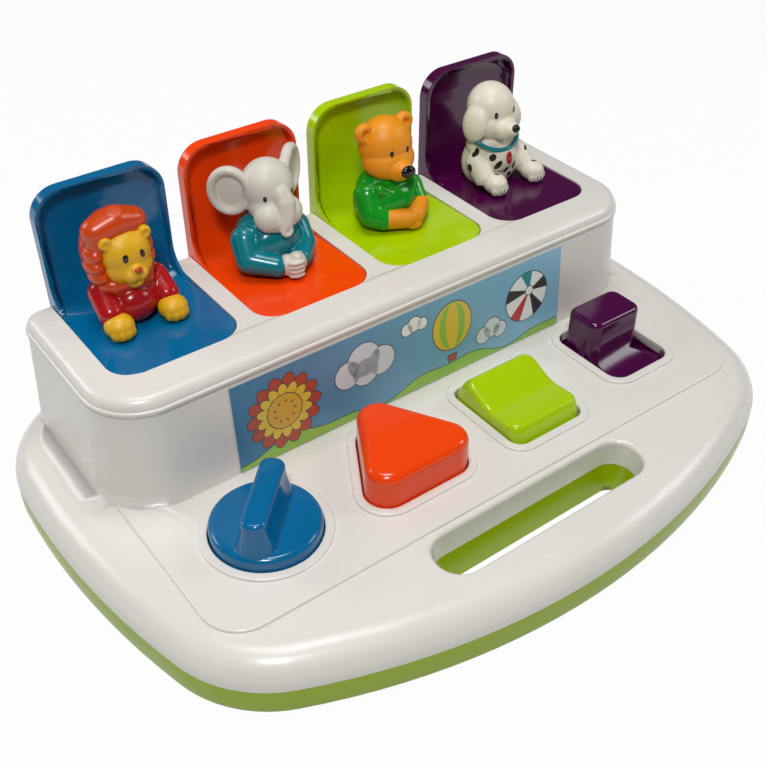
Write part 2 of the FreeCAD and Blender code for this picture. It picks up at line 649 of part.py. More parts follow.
def build_top_frame():
    """The cap: a rounded frame with four openings, open to the rear, and hinge lugs below its strips."""
    body = new_body("top_frame")
    sketch = new_sketch(body, "CapPlan", offset="cap_base")
    wall_loop(sketch, "0", "cap_base")
    pad(body, "Cap", sketch, "cap_top - cap_base")
    top = number("cap_top")
    soften(body, "CapRound", "cap_round", lambda edge: level_at(edge, top))
    row_end = "(2 * lid_pitch + (lid_pitch - lid_width) / 2 - lid_gap)"
    sketch = new_sketch(body, "LugPlan", "YZ_Plane", "-1 * " + row_end)
    low = "cap_base - lug_drop"
    front, back = "hinge_y - lug_depth / 2", "hinge_y + lug_depth / 2"
    loop(sketch, ((front, low, "lug_depth / 2 - fit_gap / 2"), (back, low, "lug_depth / 2 - fit_gap / 2"),
                  (back, "cap_base + past", None), (front, "cap_base + past", None)))
    pad(body, "Lugs", sketch, "2 * " + row_end)
    for index in range(len(LIDS)):
        middle = lid_middle(index)
        half = "(lid_width / 2 + lid_gap)"
        sketch = new_sketch(body, "OpeningPlan%d" % index, offset="cap_top + past")
        box_loop(sketch, "%s - %s" % (middle, half), "%s + %s" % (middle, half),
                 "hinge_y - panel_top + hinge_z - 2 * lid_gap", "box_rear + 5 * past",
                 "opening_corner", None)
        pocket(body, "Opening%d" % index, sketch, "cap_top - cap_base + lug_drop + 2 * past")
    sketch = new_sketch(body, "PinPlan", "YZ_Plane", "-2 * lid_pitch - lid_pitch")
    circle(sketch, "hinge_y", "hinge_z", "pin_radius")
    pocket(body, "PinHoles", sketch, "6 * lid_pitch", reverse=True)


# --- lids ----------------------------------------------------------------------------------------------

def build_lid(index, colour):
    """One lid, open: dished rear panel, floor, flared sides and two hinge ears."""
    body = new_body(colour + "_lid")
    half, front_face = "lid_width / 2", "panel_back - panel_depth"
    sketch = new_sketch(body, "PanelPlan", "XZ_Plane", "-1 * panel_back")
    box_loop(sketch, "-1 * lid_width / 2", half, "panel_foot", "panel_top", None, "panel_corner")
    pad(body, "Panel", sketch, "panel_depth")
    back = number("panel_back")
    soften(body, "PanelRound", "lid_round",
           lambda edge: near(edge.BoundBox.YMin, back) and near(edge.BoundBox.YMax, back))
    sketch = new_sketch(body, "FloorPlan", offset="floor_top - lid_wall")
    tip = "hinge_y - panel_top + hinge_z"
    box_loop(sketch, "-1 * lid_width / 2", half, tip, front_face + " + past", "floor_corner", None)
    pad(body, "Floor", sketch, "lid_wall")
    sketch = new_sketch(body, "DishPlan", "XZ_Plane", "-1 * (panel_back - lid_skin)")
    box_loop(sketch, "-1 * (lid_width / 2 - lid_wall)", "lid_width / 2 - lid_wall", "floor_top",
             "panel_top - lid_wall", None, "panel_corner - lid_wall")
    pocket(body, "Dish", sketch, "panel_depth - lid_skin + past", reverse=True)
    for side, offset in (("Left", "-1 * lid_width / 2"), ("Right", "lid_width / 2 - lid_wall")):
        sketch = new_sketch(body, side + "FlarePlan", "YZ_Plane", offset)
        loop(sketch, (
            (front_face + " - flare_reach", "floor_top - lid_wall / 2", None),
            (front_face + " + past", "floor_top - lid_wall / 2", None),
            (front_face + " + past", "floor_top + flare_height", None),
            (front_face, "floor_top + flare_height", None),
            (front_face, "floor_top + lid_round / 2", "flare_round"),
            (front_face + " - flare_reach", "floor_top + lid_round / 2", None),
        ))
        pad(body, side + "Flare", sketch, "lid_wall")
    for side, offset in (("Left", "-1 * lid_width / 2"), ("Right", "lid_width / 2 - ear_width")):
        sketch = new_sketch(body, side + "EarPlan", "YZ_Plane", offset)
        loop(sketch, (
            ("hinge_y - ear_radius", "hinge_z - ear_radius", "ear_radius - fit_gap / 2"),
            (front_face + " + past", "hinge_z - ear_radius", None),
            (front_face + " + past", "floor_top - lid_wall / 2", None),
            ("hinge_y - ear_radius", "floor_top - lid_wall / 2", None),
        ))
        pad(body, side + "Ear", sketch, "ear_width")
    sketch = new_sketch(body, "PinPlan", "YZ_Plane", "-1 * lid_width")
    circle(sketch, "hinge_y", "hinge_z", "pin_radius + pin_play")
    pocket(body, "PinHole", sketch, "lid_width * 2", reverse=True)
    sketch = new_sketch(body, "SpringBayPlan", "YZ_Plane", "ear_width - lid_width / 2")
    circle(sketch, "hinge_y", "hinge_z", "lid_spring_radius + 2 * wire_radius")
    pocket(body, "SpringBay", sketch, "lid_spring_length + lid_spring_pitch + 4 * wire_radius", reverse=True)
    sketch = new_sketch(body, "ScrewPlan", offset="floor_top + past")
    for side in (-1, 1):
        circle(sketch, "(%d) * screw_spread" % side, "figure_y", "figure_screw + screw_play")
    pocket(body, "ScrewHoles", sketch, "lid_wall + 2 * past")
    move(body, x=lid_middle(index))


def build_hinge_pin(index, colour):
    """The steel pin of one lid."""
    pin = doc.addObject("Part::Cylinder", colour + "_hinge_pin")
    pin.Label = colour + "_hinge_pin"
    pin.setExpression("Radius", bind("pin_radius"))
    pin.setExpression("Height", bind("lid_width + 2 * lid_gap + 2 * pin_hold"))
    pin.Placement.Rotation = FreeCAD.Rotation(Vector(0, 1, 0), 90)
    move(pin, x=lid_middle(index) + " - lid_width / 2 - lid_gap - pin_hold", y="hinge_y", z="hinge_z")
    pieces.append(pin)


def build_coil(label, radius, pitch, height, turn, **places):
    """A coil spring of round wire."""
    helix = doc.addObject("Part::Helix", label + "_path")
    helix.setExpression("Radius", bind(radius))
    helix.setExpression("Pitch", bind(pitch))
    helix.setExpression("Height", bind(height))
    wire = doc.addObject("Part::RegularPolygon", label + "_wire")
    wire.Polygon = 6
    wire.setExpression("Circumradius", bind("wire_radius"))
    wire.Placement.Rotation = FreeCAD.Rotation(Vector(1, 0, 0), 90)
    wire.setExpression("Placement.Base.x", bind(radius))
    coil = doc.addObject("Part::Sweep", label)
    coil.Label = label
    coil.Sections = [wire]
    coil.Spine = (helix, [])
    coil.Solid = True
    coil.Frenet = True
    coil.Placement.Rotation = turn
    move(coil, **places)
    pieces.append(coil)


def build_lid_spring(index, colour):
    """The torsion spring on a lid's pin, beside its left ear."""
    build_coil(colour + "_lid_spring", "lid_spring_radius", "lid_spring_pitch", "lid_spring_length",
               FreeCAD.Rotation(Vector(0, 1, 0), 90), y="hinge_y", z="hinge_z",
               x=lid_middle(index) + " - lid_width / 2 + ear_width + 3 * wire_radius")


# --- latches -------------------------------------------------------------------------------------------

def build_latch(index, colour):
    """A latch bar: nose at the rear, spring cup, guide hole, and at the front what its control works on."""
    body = new_body(colour + "_latch")
    half = "latch_width / 2"
    closed_floor = "hinge_y - floor_top + hinge_z"
    nose_back = "(%s - nose_gap)" % closed_floor
    fronts = ("knob_y + hub_radius + arm_gap", "button_front + stem_place - latch_width / 4",
              "rocker_y - latch_width / 2", "slider_y + ramp_place - ramp_half")
    sketch = new_sketch(body, "BarPlan", offset="latch_base")
    box_loop(sketch, "-1 * latch_width / 2", half, fronts[index], nose_back)
    pad(body, "Bar", sketch, "latch_thick")
    sketch = new_sketch(body, "NosePlan", offset="latch_base")
    box_loop(sketch, "-1 * latch_width / 2", half, nose_back + " - nose_thick", nose_back)
    pad(body, "Nose", sketch, "nose_top - latch_base")
    if index == 0:
        build_dial_ramp(body)
    if index == 3:
        build_slide_ramp(body)
    sketch = new_sketch(body, "CupPlan", offset="latch_base")
    circle(sketch, "0", "cup_y", "cup_radius")
    pad(body, "Cup", sketch, "cup_top - latch_base")
    sketch = new_sketch(body, "CupHollowPlan", offset="latch_base")
    circle(sketch, "0", "cup_y", "cup_radius - cup_wall")
    pocket(body, "CupHollow", sketch, "cup_top - latch_base - cup_wall", reverse=True)
    sketch = new_sketch(body, "GuidePlan", offset="latch_base")
    circle(sketch, "0", "cup_y", "post_radius + post_play")
    circle(sketch, "0", "guide_y", "post_radius + post_play")
    pocket(body, "GuideHoles", sketch, "cup_top", reverse=True)
    move(body, x=lid_middle(index))


def build_dial_ramp(body):
    """The side arm of the dial's latch and the ramp that the dial's peg runs over."""
    inner, outer = "peg_place - 3 * peg_radius", "peg_place + 2 * peg_radius"
    near_side, front = "knob_y + hub_radius + arm_gap", "knob_y - peg_place"
    rear = near_side + " + arm_width"
    sketch = new_sketch(body, "ArmPlan", offset="latch_base")
    loop(sketch, (("0", near_side, None), (inner, near_side, None), (inner, front, None),
                  (outer, front, None), (outer, rear, None), ("0", rear, None)))
    pad(body, "Arm", sketch, "latch_thick")
    rise = "latch_travel / (peg_place * sin(knob_sweep))"
    low, base = "latch_base + 2 * latch_thick", "latch_base + latch_thick / 2"
    sketch = new_sketch(body, "RampPlan", "YZ_Plane", inner)
    loop(sketch, (
        (front, base, None), ("knob_y + 2 * peg_radius", base, None),
        ("knob_y + 2 * peg_radius", "%s - 2 * peg_radius * %s" % (low, rise), None),
        (front, "%s + peg_place * %s" % (low, rise), None),
    ))
    pad(body, "Ramp", sketch, "5 * peg_radius")


def build_slide_ramp(body):
    """The sloping block that the slider's rib pushes down."""
    middle, slope = "(slider_y + ramp_place)", "latch_travel / slider_travel"
    rear, front = "(%s + ramp_half)" % middle, "(%s - ramp_half)" % middle
    top, base = "(latch_base + latch_thick + ramp_rise)", "latch_base + latch_thick / 2"
    sketch = new_sketch(body, "BlockPlan", "YZ_Plane", "-1 * latch_width / 2")
    loop(sketch, (
        (front, base, None), (rear, base, None),
        (rear, "%s - (%s - %s) * %s" % (top, rear, middle, slope), None),
        (front, "%s - (%s - %s) * %s" % (top, front, middle, slope), None),
    ))
    pad(body, "Block", sketch, "latch_width")


def build_latch_spring(index, colour):
    """The spring that lifts a latch, between the floor and the cup's roof."""
    build_coil(colour + "_latch_spring", "latch_spring_radius", "latch_spring_pitch",
               "cup_top - cup_wall - wall - 2 * wire_radius - fit_gap", FreeCAD.Rotation(),
               x=lid_middle(index), y="cup_y", z="wall + wire_radius + fit_gap / 2")


# --- controls ------------------------------------------------------------------------------------------

def grip_section(body, name, height, length, width):
    """One section of the dial's grip: a bar with round ends, turned."""
    sketch = new_sketch(body, name, offset=height)
    sketch.setExpression(".AttachmentOffset.Rotation.Angle", bind("grip_turn"))
    sketch.AttachmentOffset.Rotation.Axis = Vector(0, 0, 1)
    half, side = "(%s) / 2" % length, "(%s) / 2" % width
    box_loop(sketch, "-1 * " + half, half, "-1 * " + side, side, "(%s) * 0.42" % width)
    return sketch


def build_knob():
    """The dial: disc, flared grip, keeping flange, hub and the peg below it."""
    body = new_body("knob")
    ceiling = "deck_height - wall"
    disc = "knob_hole - control_gap"
    sketch = new_sketch(body, "DiscPlan", offset=ceiling + " - touch_gap")
    circle(sketch, "0", "0", disc)
    pad(body, "Disc", sketch, "knob_top - (%s) + touch_gap" % ceiling)
    top = number("knob_top")
    soften(body, "DiscRound", "knob_round", lambda edge: level_at(edge, top))
    sketch = new_sketch(body, "FlangePlan", offset=ceiling + " - touch_gap")
    circle(sketch, "0", "0", "knob_hole + flange_reach")
    pad(body, "Flange", sketch, "flange_thick", reverse=True)
    foot = grip_section(body, "GripFoot", "knob_top - past / 2", "grip_foot_length", "grip_foot_width")
    waist = grip_section(body, "GripWaist", "knob_top + grip_waist", "grip_waist_length", "grip_waist_width")
    crown = grip_section(body, "GripCrown", "grip_top", "grip_length", "grip_width")
    grip = body.newObject("PartDesign::AdditiveLoft", "Grip")
    grip.Profile = foot
    grip.Sections = [waist, crown]
    crest = number("grip_top")
    soften(body, "GripRound", "grip_round", lambda edge: level_at(edge, crest))
    sketch = new_sketch(body, "HubPlan", offset="hub_base")
    circle(sketch, "0", "0", "hub_radius")
    pad(body, "Hub", sketch, ceiling + " - hub_base")
    sketch = new_sketch(body, "BorePlan", offset="hub_base")
    circle(sketch, "0", "0", "hub_bore")
    pocket(body, "Bore", sketch, "stud_top - hub_base + touch_gap", reverse=True)
    build_peg(body)
    move(body, x=lid_middle(0), y="knob_y")


def build_peg(body):
    """The round-ended peg under the dial's flange, turned about its own axis."""
    rise = "latch_travel / (peg_place * sin(knob_sweep))"
    lift = "(peg_radius + touch_gap) * sqrt(1 + (%s) * (%s))" % (rise, rise)
    centre = "(latch_base + 2 * latch_thick + %s)" % lift
    sketch = new_sketch(body, "PegPlan", "XZ_Plane")
    top = "deck_height - wall - touch_gap - flange_thick / 2"
    x, z = number("peg_place"), number(centre)
    radius = number("peg_radius")
    line = Part.LineSegment(Vector(x, z - radius, 0), Vector(x, number(top), 0))
    across = Part.LineSegment(Vector(x, number(top), 0), Vector(x + radius, number(top), 0))
    side = Part.LineSegment(Vector(x + radius, number(top), 0), Vector(x + radius, z, 0))
    round_end = Part.ArcOfCircle(Part.Circle(Vector(x, z, 0), Vector(0, 0, 1), radius), -math.pi / 2, 0)
    axis, lid, flank, tip = (sketch.addGeometry(item, False) for item in (line, across, side, round_end))
    meetings = ((axis, 2, lid, 1), (lid, 2, flank, 1), (flank, 2, tip, 2), (tip, 1, axis, 1))
    for first, place, second, other in meetings:
        sketch.addConstraint(Sketcher.Constraint("Coincident", first, place, second, other))
    hold_point(sketch, tip, 3, "peg_place", centre)
    hold(sketch, "DistanceX", "peg_place", -1, 1, axis, 1)
    hold_point(sketch, axis, 2, "peg_place", top)
    hold_point(sketch, lid, 2, "peg_place + peg_radius", top)
    hold(sketch, "DistanceX", "peg_place + peg_radius", -1, 1, flank, 2)
    hold(sketch, "DistanceY", centre, -1, 1, flank, 2)
    doc.recompute()
    peg = body.newObject("PartDesign::Revolution", "Peg")
    peg.Profile = sketch
    peg.ReferenceAxis = (sketch, ["Edge1"])
    peg.Angle = 360


def build_button():
    """The three-cornered push button: cap, keeping flange and stem."""
    body = new_body("push_button")
    ceiling = "deck_height - wall"
    sketch = new_sketch(body, "CapPlan", offset=ceiling + " - touch_gap")
    triangle_loop(sketch, "-1 * control_gap")
    pad(body, "Cap", sketch, "button_top - (%s) + touch_gap" % ceiling)
    top = number("button_top")
    soften(body, "CapRound", "button_round", lambda edge: level_at(edge, top))
    sketch = new_sketch(body, "FlangePlan", offset=ceiling + " - touch_gap")
    triangle_loop(sketch, "flange_reach")
    pad(body, "Flange", sketch, "flange_thick", reverse=True)
    sketch = new_sketch(body, "StemPlan", offset="latch_base + latch_thick + touch_gap")
    middle, half = lid_middle(1), "button_stem / 2"
    box_loop(sketch, "%s - %s" % (middle, half), "%s + %s" % (middle, half),
             "button_front + stem_place", "button_front + stem_place + button_stem", "button_stem / 4")
    pad(body, "Stem", sketch, "%s - latch_base - latch_thick - touch_gap" % ceiling)


def build_rocker():
    """The rocker: a V top between round ends, hollow below, with a foot over its latch."""
    body = new_body("rocker")
    rise = "tan(rocker_wing)"
    reach = ("((sqrt(rocker_radius * rocker_radius * (1 + {0} * {0}) - rocker_valley * rocker_valley)"
             " - rocker_valley * {0}) / (1 + {0} * {0}))").format(rise)
    tip_z = "(rocker_valley + %s * %s)" % (reach, rise)
    low_y = "sqrt(rocker_radius * rocker_radius - rocker_skirt * rocker_skirt)"
    width = "(rocker_hole_width - 2 * control_gap)"
    sketch = new_sketch(body, "SidePlan", "YZ_Plane", "-1 * %s / 2" % width)
    corners = (("-1 * " + low_y, "-1 * rocker_skirt"), (low_y, "-1 * rocker_skirt"), (reach, tip_z),
               ("0", "rocker_valley"), ("-1 * " + reach, tip_z))
    points = [Vector(number(x), number(y), 0) for x, y in corners]
    radius, centre = number("rocker_radius"), Vector(0, 0, 0)
    shapes = (Part.LineSegment(points[0], points[1]), arc_between(centre, radius, points[1], points[2]),
              Part.LineSegment(points[2], points[3]), Part.LineSegment(points[3], points[4]),
              arc_between(centre, radius, points[4], points[0]))
    sides = [sketch.addGeometry(shape, False) for shape in shapes]
    for index, side in enumerate(sides):
        sketch.addConstraint(Sketcher.Constraint("Coincident", sides[index - 1], 2, side, 1))
        hold_point(sketch, side, 1, *corners[index])
    for side in (sides[1], sides[4]):
        hold(sketch, "Radius", "rocker_radius", side)
    pad(body, "Block", sketch, width)
    half, quarter, crest = number(width) / 2, number(reach) / 2, number("rocker_valley - past")
    soften(body, "ValleyBlend", "rocker_blend", lambda edge: edge.BoundBox.XLength > half
           and abs(edge.BoundBox.Center.y) < quarter and edge.BoundBox.ZMin > crest)
    soften(body, "CornerRound", "rocker_hole_corner - control_gap", lambda edge:
           near(edge.BoundBox.XLength, 0) and edge.BoundBox.YLength < quarter
           and edge.BoundBox.ZMin < 0 < edge.BoundBox.ZMax)
    soften(body, "TopRound", "rocker_round", lambda edge: edge.BoundBox.ZMin > crest
           and not (edge.BoundBox.XLength > half and abs(edge.BoundBox.Center.y) < quarter))
    sketch = new_sketch(body, "HollowPlan", "YZ_Plane", "-1 * %s / 2 + wall" % width)
    inner = "(%s - 2 * wall)" % low_y
    loop(sketch, (("-1 * " + inner, "-1 * rocker_skirt - past", None),
                  (inner, "-1 * rocker_skirt - past", None),
                  ("%s - wall" % reach, tip_z + " - 2 * wall", None), ("0", "rocker_valley - wall", None),
                  ("-1 * (%s - wall)" % reach, tip_z + " - 2 * wall", None)))
    pocket(body, "Hollow", sketch, width + " - 2 * wall", reverse=True)
    sketch = new_sketch(body, "FootPlan", "YZ_Plane", "-1 * latch_width / 2")
    drop = "(rocker_z - latch_base - latch_thick - 2 * touch_gap)"
    foot_y = "(rocker_arm * cos(rocker_rest) - %s * sin(rocker_rest))" % drop
    foot_z = "(-1 * rocker_arm * sin(rocker_rest) - %s * cos(rocker_rest))" % drop
    loop(sketch, ((foot_y + " - wall / 2", foot_z, "wall / 3"), (foot_y + " + wall / 2", foot_z, "wall / 3"),
                  (foot_y + " + wall / 2", "rocker_valley", None),
                  (foot_y + " - wall / 2", "rocker_valley", None)))
    pad(body, "Foot", sketch, "latch_width")
    sketch = new_sketch(body, "PinPlan", "YZ_Plane", "-1 * rocker_hole_width")
    circle(sketch, "0", "0", "pin_radius + pin_play")
    pocket(body, "PinHole", sketch, "2 * rocker_hole_width", reverse=True)
    body.Placement.Rotation = FreeCAD.Rotation(Vector(1, 0, 0), 1)
    body.setExpression("Placement.Rotation.Angle", bind("rocker_rest"))
    move(body, x=lid_middle(2), y="rocker_y", z="rocker_z")
    pin = doc.addObject("Part::Cylinder", "rocker_pin")
    pin.Label = "rocker_pin"
    pin.setExpression("Radius", bind("pin_radius"))
    pin.setExpression("Height", bind("rocker_hole_width + 2 * wall"))
    pin.Placement.Rotation = FreeCAD.Rotation(Vector(0, 1, 0), 90)
    move(pin, x=lid_middle(2) + " - rocker_hole_width / 2 - wall", y="rocker_y", z="rocker_z")
    pieces.append(pin)


def build_slider():
    """The slider: grip block on a carriage plate, and the rib that works its latch."""
    body = new_body("slider")
    plate_top = "(deck_height - wall - touch_gap)"
    half = "(slider_hole_width / 2 + carriage_lap)"
    hole_front, hole_rear = "slider_y - slider_hole_depth / 2", "slider_y + slider_hole_depth / 2"
    sketch = new_sketch(body, "PlatePlan", offset=plate_top)
    box_loop(sketch, "-1 * " + half, half, hole_front + " - carriage_lap",
             hole_rear + " + slider_travel + carriage_lap", "slider_corner / 2")
    pad(body, "Plate", sketch, "carriage_thick", reverse=True)
    sketch = new_sketch(body, "GripPlan", offset=plate_top + " - carriage_thick / 2")
    rear = hole_rear + " - slider_end_gap"
    box_loop(sketch, "-1 * slider_width / 2", "slider_width / 2", rear + " - slider_depth", rear,
             "slider_corner")
    pad(body, "Grip", sketch, "slider_top - %s + carriage_thick / 2" % plate_top)
    top = number("slider_top")
    soften(body, "GripRound", "slider_round", lambda edge: level_at(edge, top))
    slope = "latch_travel / slider_travel"
    middle = "(slider_y + ramp_place)"
    low = "(latch_base + latch_thick + ramp_rise + touch_gap)"
    front, back = "(%s - rib_lap)" % middle, "(%s + rib_lap + slider_travel)" % middle
    sketch = new_sketch(body, "RibPlan", "YZ_Plane", "-1 * latch_width / 3")
    loop(sketch, (
        (front, "%s - (%s - %s) * %s" % (low, front, middle, slope), None),
        (back, "%s - (%s - %s) * %s" % (low, back, middle, slope), None),
        (back, plate_top + " - carriage_thick / 2", None),
        (front, plate_top + " - carriage_thick / 2", None),
    ))
    pad(body, "Rib", sketch, "2 * latch_width / 3")
    move(body, x=lid_middle(3))
    keeper = doc.addObject("Part::Compound", "slider_keeper")
    keeper.Label = "slider_keeper"
    strips = []
    for side, name in ((-1, "left"), (1, "right")):
        strip = doc.addObject("Part::Box", "keeper_strip_" + name)
        strip.setExpression("Length", bind("keeper_width"))
        strip.setExpression("Width", bind("slider_hole_depth + 2 * slider_travel"))
        strip.setExpression("Height", bind("keeper_thick"))
        edge = "(slider_hole_width / 2 + carriage_lap + touch_gap + rail_wall)"
        place = lid_middle(3) + (" - %s" if side < 0 else " + %s - keeper_width") % edge
        move(strip, x=place, y="slider_y - slider_hole_depth / 2 - slider_travel",
             z=plate_top + " - carriage_thick - touch_gap - keeper_thick")
        strips.append(strip)
    keeper.Links = strips
    pieces.append(keeper)


# --- picture, screws and animals -----------------------------------------------------------------------

def build_label():
    """The card with the picture, on the leaning front wall."""
    card = doc.addObject("Part::Box", "picture_label")
    card.Label = "picture_label"
    card.setExpression("Length", bind("label_width"))
    card.setExpression("Width", bind("label_thick"))
    card.setExpression("Height", bind("(label_high - label_low) / cos(box_draft)"))
    card.Placement.Rotation = FreeCAD.Rotation(Vector(-1, 0, 0), 1)
    card.setExpression("Placement.Rotation.Angle", bind("box_draft"))
    move(card, x="-1 * label_width / 2",
         y="box_front + (label_low - deck_height) * tan(box_draft) - label_thick * cos(box_draft)",
         z="label_low + label_thick * sin(box_draft)")
    pieces.append(card)


def build_screw(name, shank, head, length, **places):
    """A round-headed screw, head down."""
    thread = doc.addObject("Part::Cylinder", name + "_shank")
    thread.setExpression("Radius", bind(shank))
    thread.setExpression("Height", bind("%s + screw_head_height" % length))
    knob = doc.addObject("Part::Cylinder", name + "_head")
    knob.setExpression("Radius", bind(head))
    knob.setExpression("Height", bind("screw_head_height"))
    for solid in (thread, knob):
        move(solid, **places)
    screw = doc.addObject("Part::Fuse", name)
    screw.Base = thread
    screw.Tool = knob
    return screw


def build_screws():
    """The screws of the case and of the animals."""
    case = doc.addObject("Part::Compound", "case_screws")
    case.Label = "case_screws"
    length = "deck_height - deck_round / 2 - case_recess"
    case.Links = [
        build_screw("case_screw_%d" % index, "case_screw", "case_head", length,
                    x=x, y=y, z="case_recess - screw_head_height")
        for index, (x, y) in enumerate(case_places())]
    pieces.append(case)
    for index, (_, animal) in enumerate(LIDS):
        pair = doc.addObject("Part::Compound", animal + "_screws")
        pair.Label = animal + "_screws"
        pair.Links = [
            build_screw("%s_screw_%s" % (animal, name), "figure_screw", "screw_head",
                        "lid_wall + screw_bite",
                        x="%s + (%d) * screw_spread" % (lid_middle(index), side), y="figure_y",
                        z="floor_top - lid_wall - screw_head_height")
            for side, name in ((-1, "left"), (1, "right"))]
        pieces.append(pair)


class Animal:
    """Collects the rounded forms of one figure, sized in fiftieths of its height, and joins them."""

    def __init__(self, index, name):
        self.index = index
        self.name = name
        self.forms = []

    def form(self, kind, x, y, z, **sizes):
        """Puts a solid at x from the lid's middle, y from the figure's middle and z over the floor."""
        solid = doc.addObject("Part::" + kind, "%s_form_%d" % (self.name, len(self.forms)))
        for name, size in sizes.items():
            solid.setExpression(name, bind("figure_height / 50 * (%g)" % size))
        starts = (lid_middle(self.index), "figure_y", "floor_top")
        x, y, z = ("%s + figure_height / 50 * (%g)" % pair for pair in zip(starts, (x, y, z)))
        move(solid, x=x, y=y, z=z)
        self.forms.append(solid)
        return solid

    def ball(self, x, y, z, radius):
        """A round form."""
        self.form("Sphere", x, y, z, Radius=radius)

    def limb(self, *stations):
        """A limb with round ends; each station is x, y, z and the radius there."""
        for x, y, z, radius in stations:
            self.ball(x, y, z, radius)
        for first, second in zip(stations, stations[1:]):
            start, end = Vector(*first[:3]), Vector(*second[:3])
            cone = self.form("Cone", *first[:3], Radius1=first[3], Radius2=second[3],
                             Height=start.distanceToPoint(end))
            cone.Placement.Rotation = FreeCAD.Rotation(Vector(0, 0, 1), end - start)

    def ring(self, x, y, z, radius, thick):
        """A round ring that faces the front."""
        ring = self.form("Torus", x, y, z, Radius1=radius, Radius2=thick)
        ring.Placement.Rotation = FreeCAD.Rotation(Vector(1, 0, 0), 90)

    def flap(self, x, y, z, radius, thick):
        """A puffy disc that faces the front."""
        self.ring(x, y, z, radius - thick, thick)
        disc = self.form("Cylinder", x, y + thick, z, Radius=radius - thick, Height=2 * thick)
        disc.Placement.Rotation = FreeCAD.Rotation(Vector(1, 0, 0), 90)

    def join(self):
        """Fuses the forms, flattens the foot on the floor and drills for the screws."""
        whole = doc.addObject("Part::MultiFuse", self.name + "_forms")
        whole.Shapes = self.forms
        below = doc.addObject("Part::Box", self.name + "_below")
        for side, size in (("Length", "lid_width"), ("Width", "2 * lid_width"), ("Height", "lid_width")):
            below.setExpression(side, bind(size))
        middle = lid_middle(self.index)
        move(below, x=middle + " - lid_width / 2", y="figure_y - lid_width", z="floor_top - lid_width")
        trimmed = doc.addObject("Part::Cut", self.name + "_trimmed")
        trimmed.Base = whole
        trimmed.Tool = below
        pilots = doc.addObject("Part::Compound", self.name + "_pilots")
        drills = []
        for side, name in ((-1, "left"), (1, "right")):
            drill = doc.addObject("Part::Cylinder", "%s_pilot_%s" % (self.name, name))
            drill.setExpression("Radius", bind("figure_screw + screw_play"))
            drill.setExpression("Height", bind("screw_bite + past"))
            move(drill, x="%s + (%d) * screw_spread" % (middle, side), y="figure_y", z="floor_top")
            drills.append(drill)
        pilots.Links = drills
        figure = doc.addObject("Part::Cut", self.name + "_figure")
        figure.Label = self.name + "_figure"
        figure.Base = trimmed
        figure.Tool = pilots
        pieces.append(figure)


def build_lion():
    """A seated lion in a jumper: thick mane around its face, round paws on the floor in front."""
    lion = Animal(0, "lion")
    lion.limb((-1, 3, 8, 14), (-1, 3, 20, 11))
    lion.ball(-2.5, 3.5, 34, 13.4)
    lion.ring(-2.5, -2, 33.6, 10, 4.3)
    lion.ball(-2, -4, 33, 9.6)
    lion.ball(-9, -6, 41.5, 2.4)
    lion.ball(5, -6, 42, 2.4)
    lion.ball(-1, -12, 29.5, 3.6)
    lion.limb((-11, -1, 19, 5), (-10.5, -10, 8, 4.6))
    lion.limb((10, -1, 19, 5), (9.8, -11, 8, 4.4))
    lion.ball(-9.8, -13, 4.4, 5.6)
    lion.ball(9.6, -14, 4.2, 5.4)
    lion.join()


def build_elephant():
    """A seated elephant: large ears, hanging trunk, hands held together."""
    elephant = Animal(1, "elephant")
    elephant.limb((1, 2, 7, 14.4), (0, 2, 20, 10.5))
    elephant.ball(-2, 1.5, 35.5, 11)
    elephant.flap(-15.4, 5, 36, 8.6, 2.2)
    elephant.flap(10.6, 5, 36, 7.2, 2.2)
    elephant.limb((0, -7, 32, 3.6), (1.5, -11.5, 24, 2.8), (2, -12, 18, 2.6))
    elephant.limb((-11, -2, 18, 5), (-2, -11, 10, 4.2))
    elephant.limb((12, -2, 18, 5), (6, -12, 9, 4.2))
    elephant.ball(2, -14, 8.5, 4.6)
    elephant.join()


def build_bear():
    """A seated bear: round ears, short muzzle, forearms to the front."""
    bear = Animal(2, "bear")
    bear.limb((-1, 2.5, 8, 14), (-1, 2.5, 21, 10.5))
    bear.ball(-2, 1.5, 37, 12)
    bear.ball(-12, 3, 44.7, 4.6)
    bear.ball(8, 3, 44.7, 4.6)
    bear.ball(-1, -9, 33.5, 5.6)
    bear.limb((-12, -1, 18, 5), (-8, -12, 8.5, 4.4))
    bear.limb((10, -1, 18, 5), (6, -13, 8, 4.4))
    bear.join()


def build_puppy():
    """A seated puppy: hanging ears, long muzzle, forelegs down to the floor."""
    puppy = Animal(3, "puppy")
    puppy.limb((1, 3, 8, 14), (0, 3, 21, 10.5))
    puppy.ball(-2.5, 1.5, 37, 12)
    puppy.limb((-14, 4, 42, 3.4), (-16.5, 3, 28, 4.6))
    puppy.limb((9.5, 4, 42, 3.4), (12, 3, 28, 4.6))
    puppy.limb((-2, -6, 33.5, 6), (-1.5, -12.5, 32, 4.4))
    puppy.limb((-7, -4, 18, 5), (-6.8, -11.5, 5.5, 5.4))
    puppy.limb((12, -3, 18, 5), (14, -9.5, 5.5, 5.6))
    puppy.join()


def build_all():
    """Builds every piece."""
    build_bottom_shell()
    build_deck_shell()
    build_top_frame()
    build_label()
    for index, (colour, _) in enumerate(LIDS):
        build_lid(index, colour)
        build_hinge_pin(index, colour)
        build_lid_spring(index, colour)
        build_latch(index, colour)
        build_latch_spring(index, colour)
    build_knob()
    build_button()
    build_rocker()
    build_slider()
    build_screws()
    build_lion()
    build_elephant()
    build_bear()
    build_puppy()


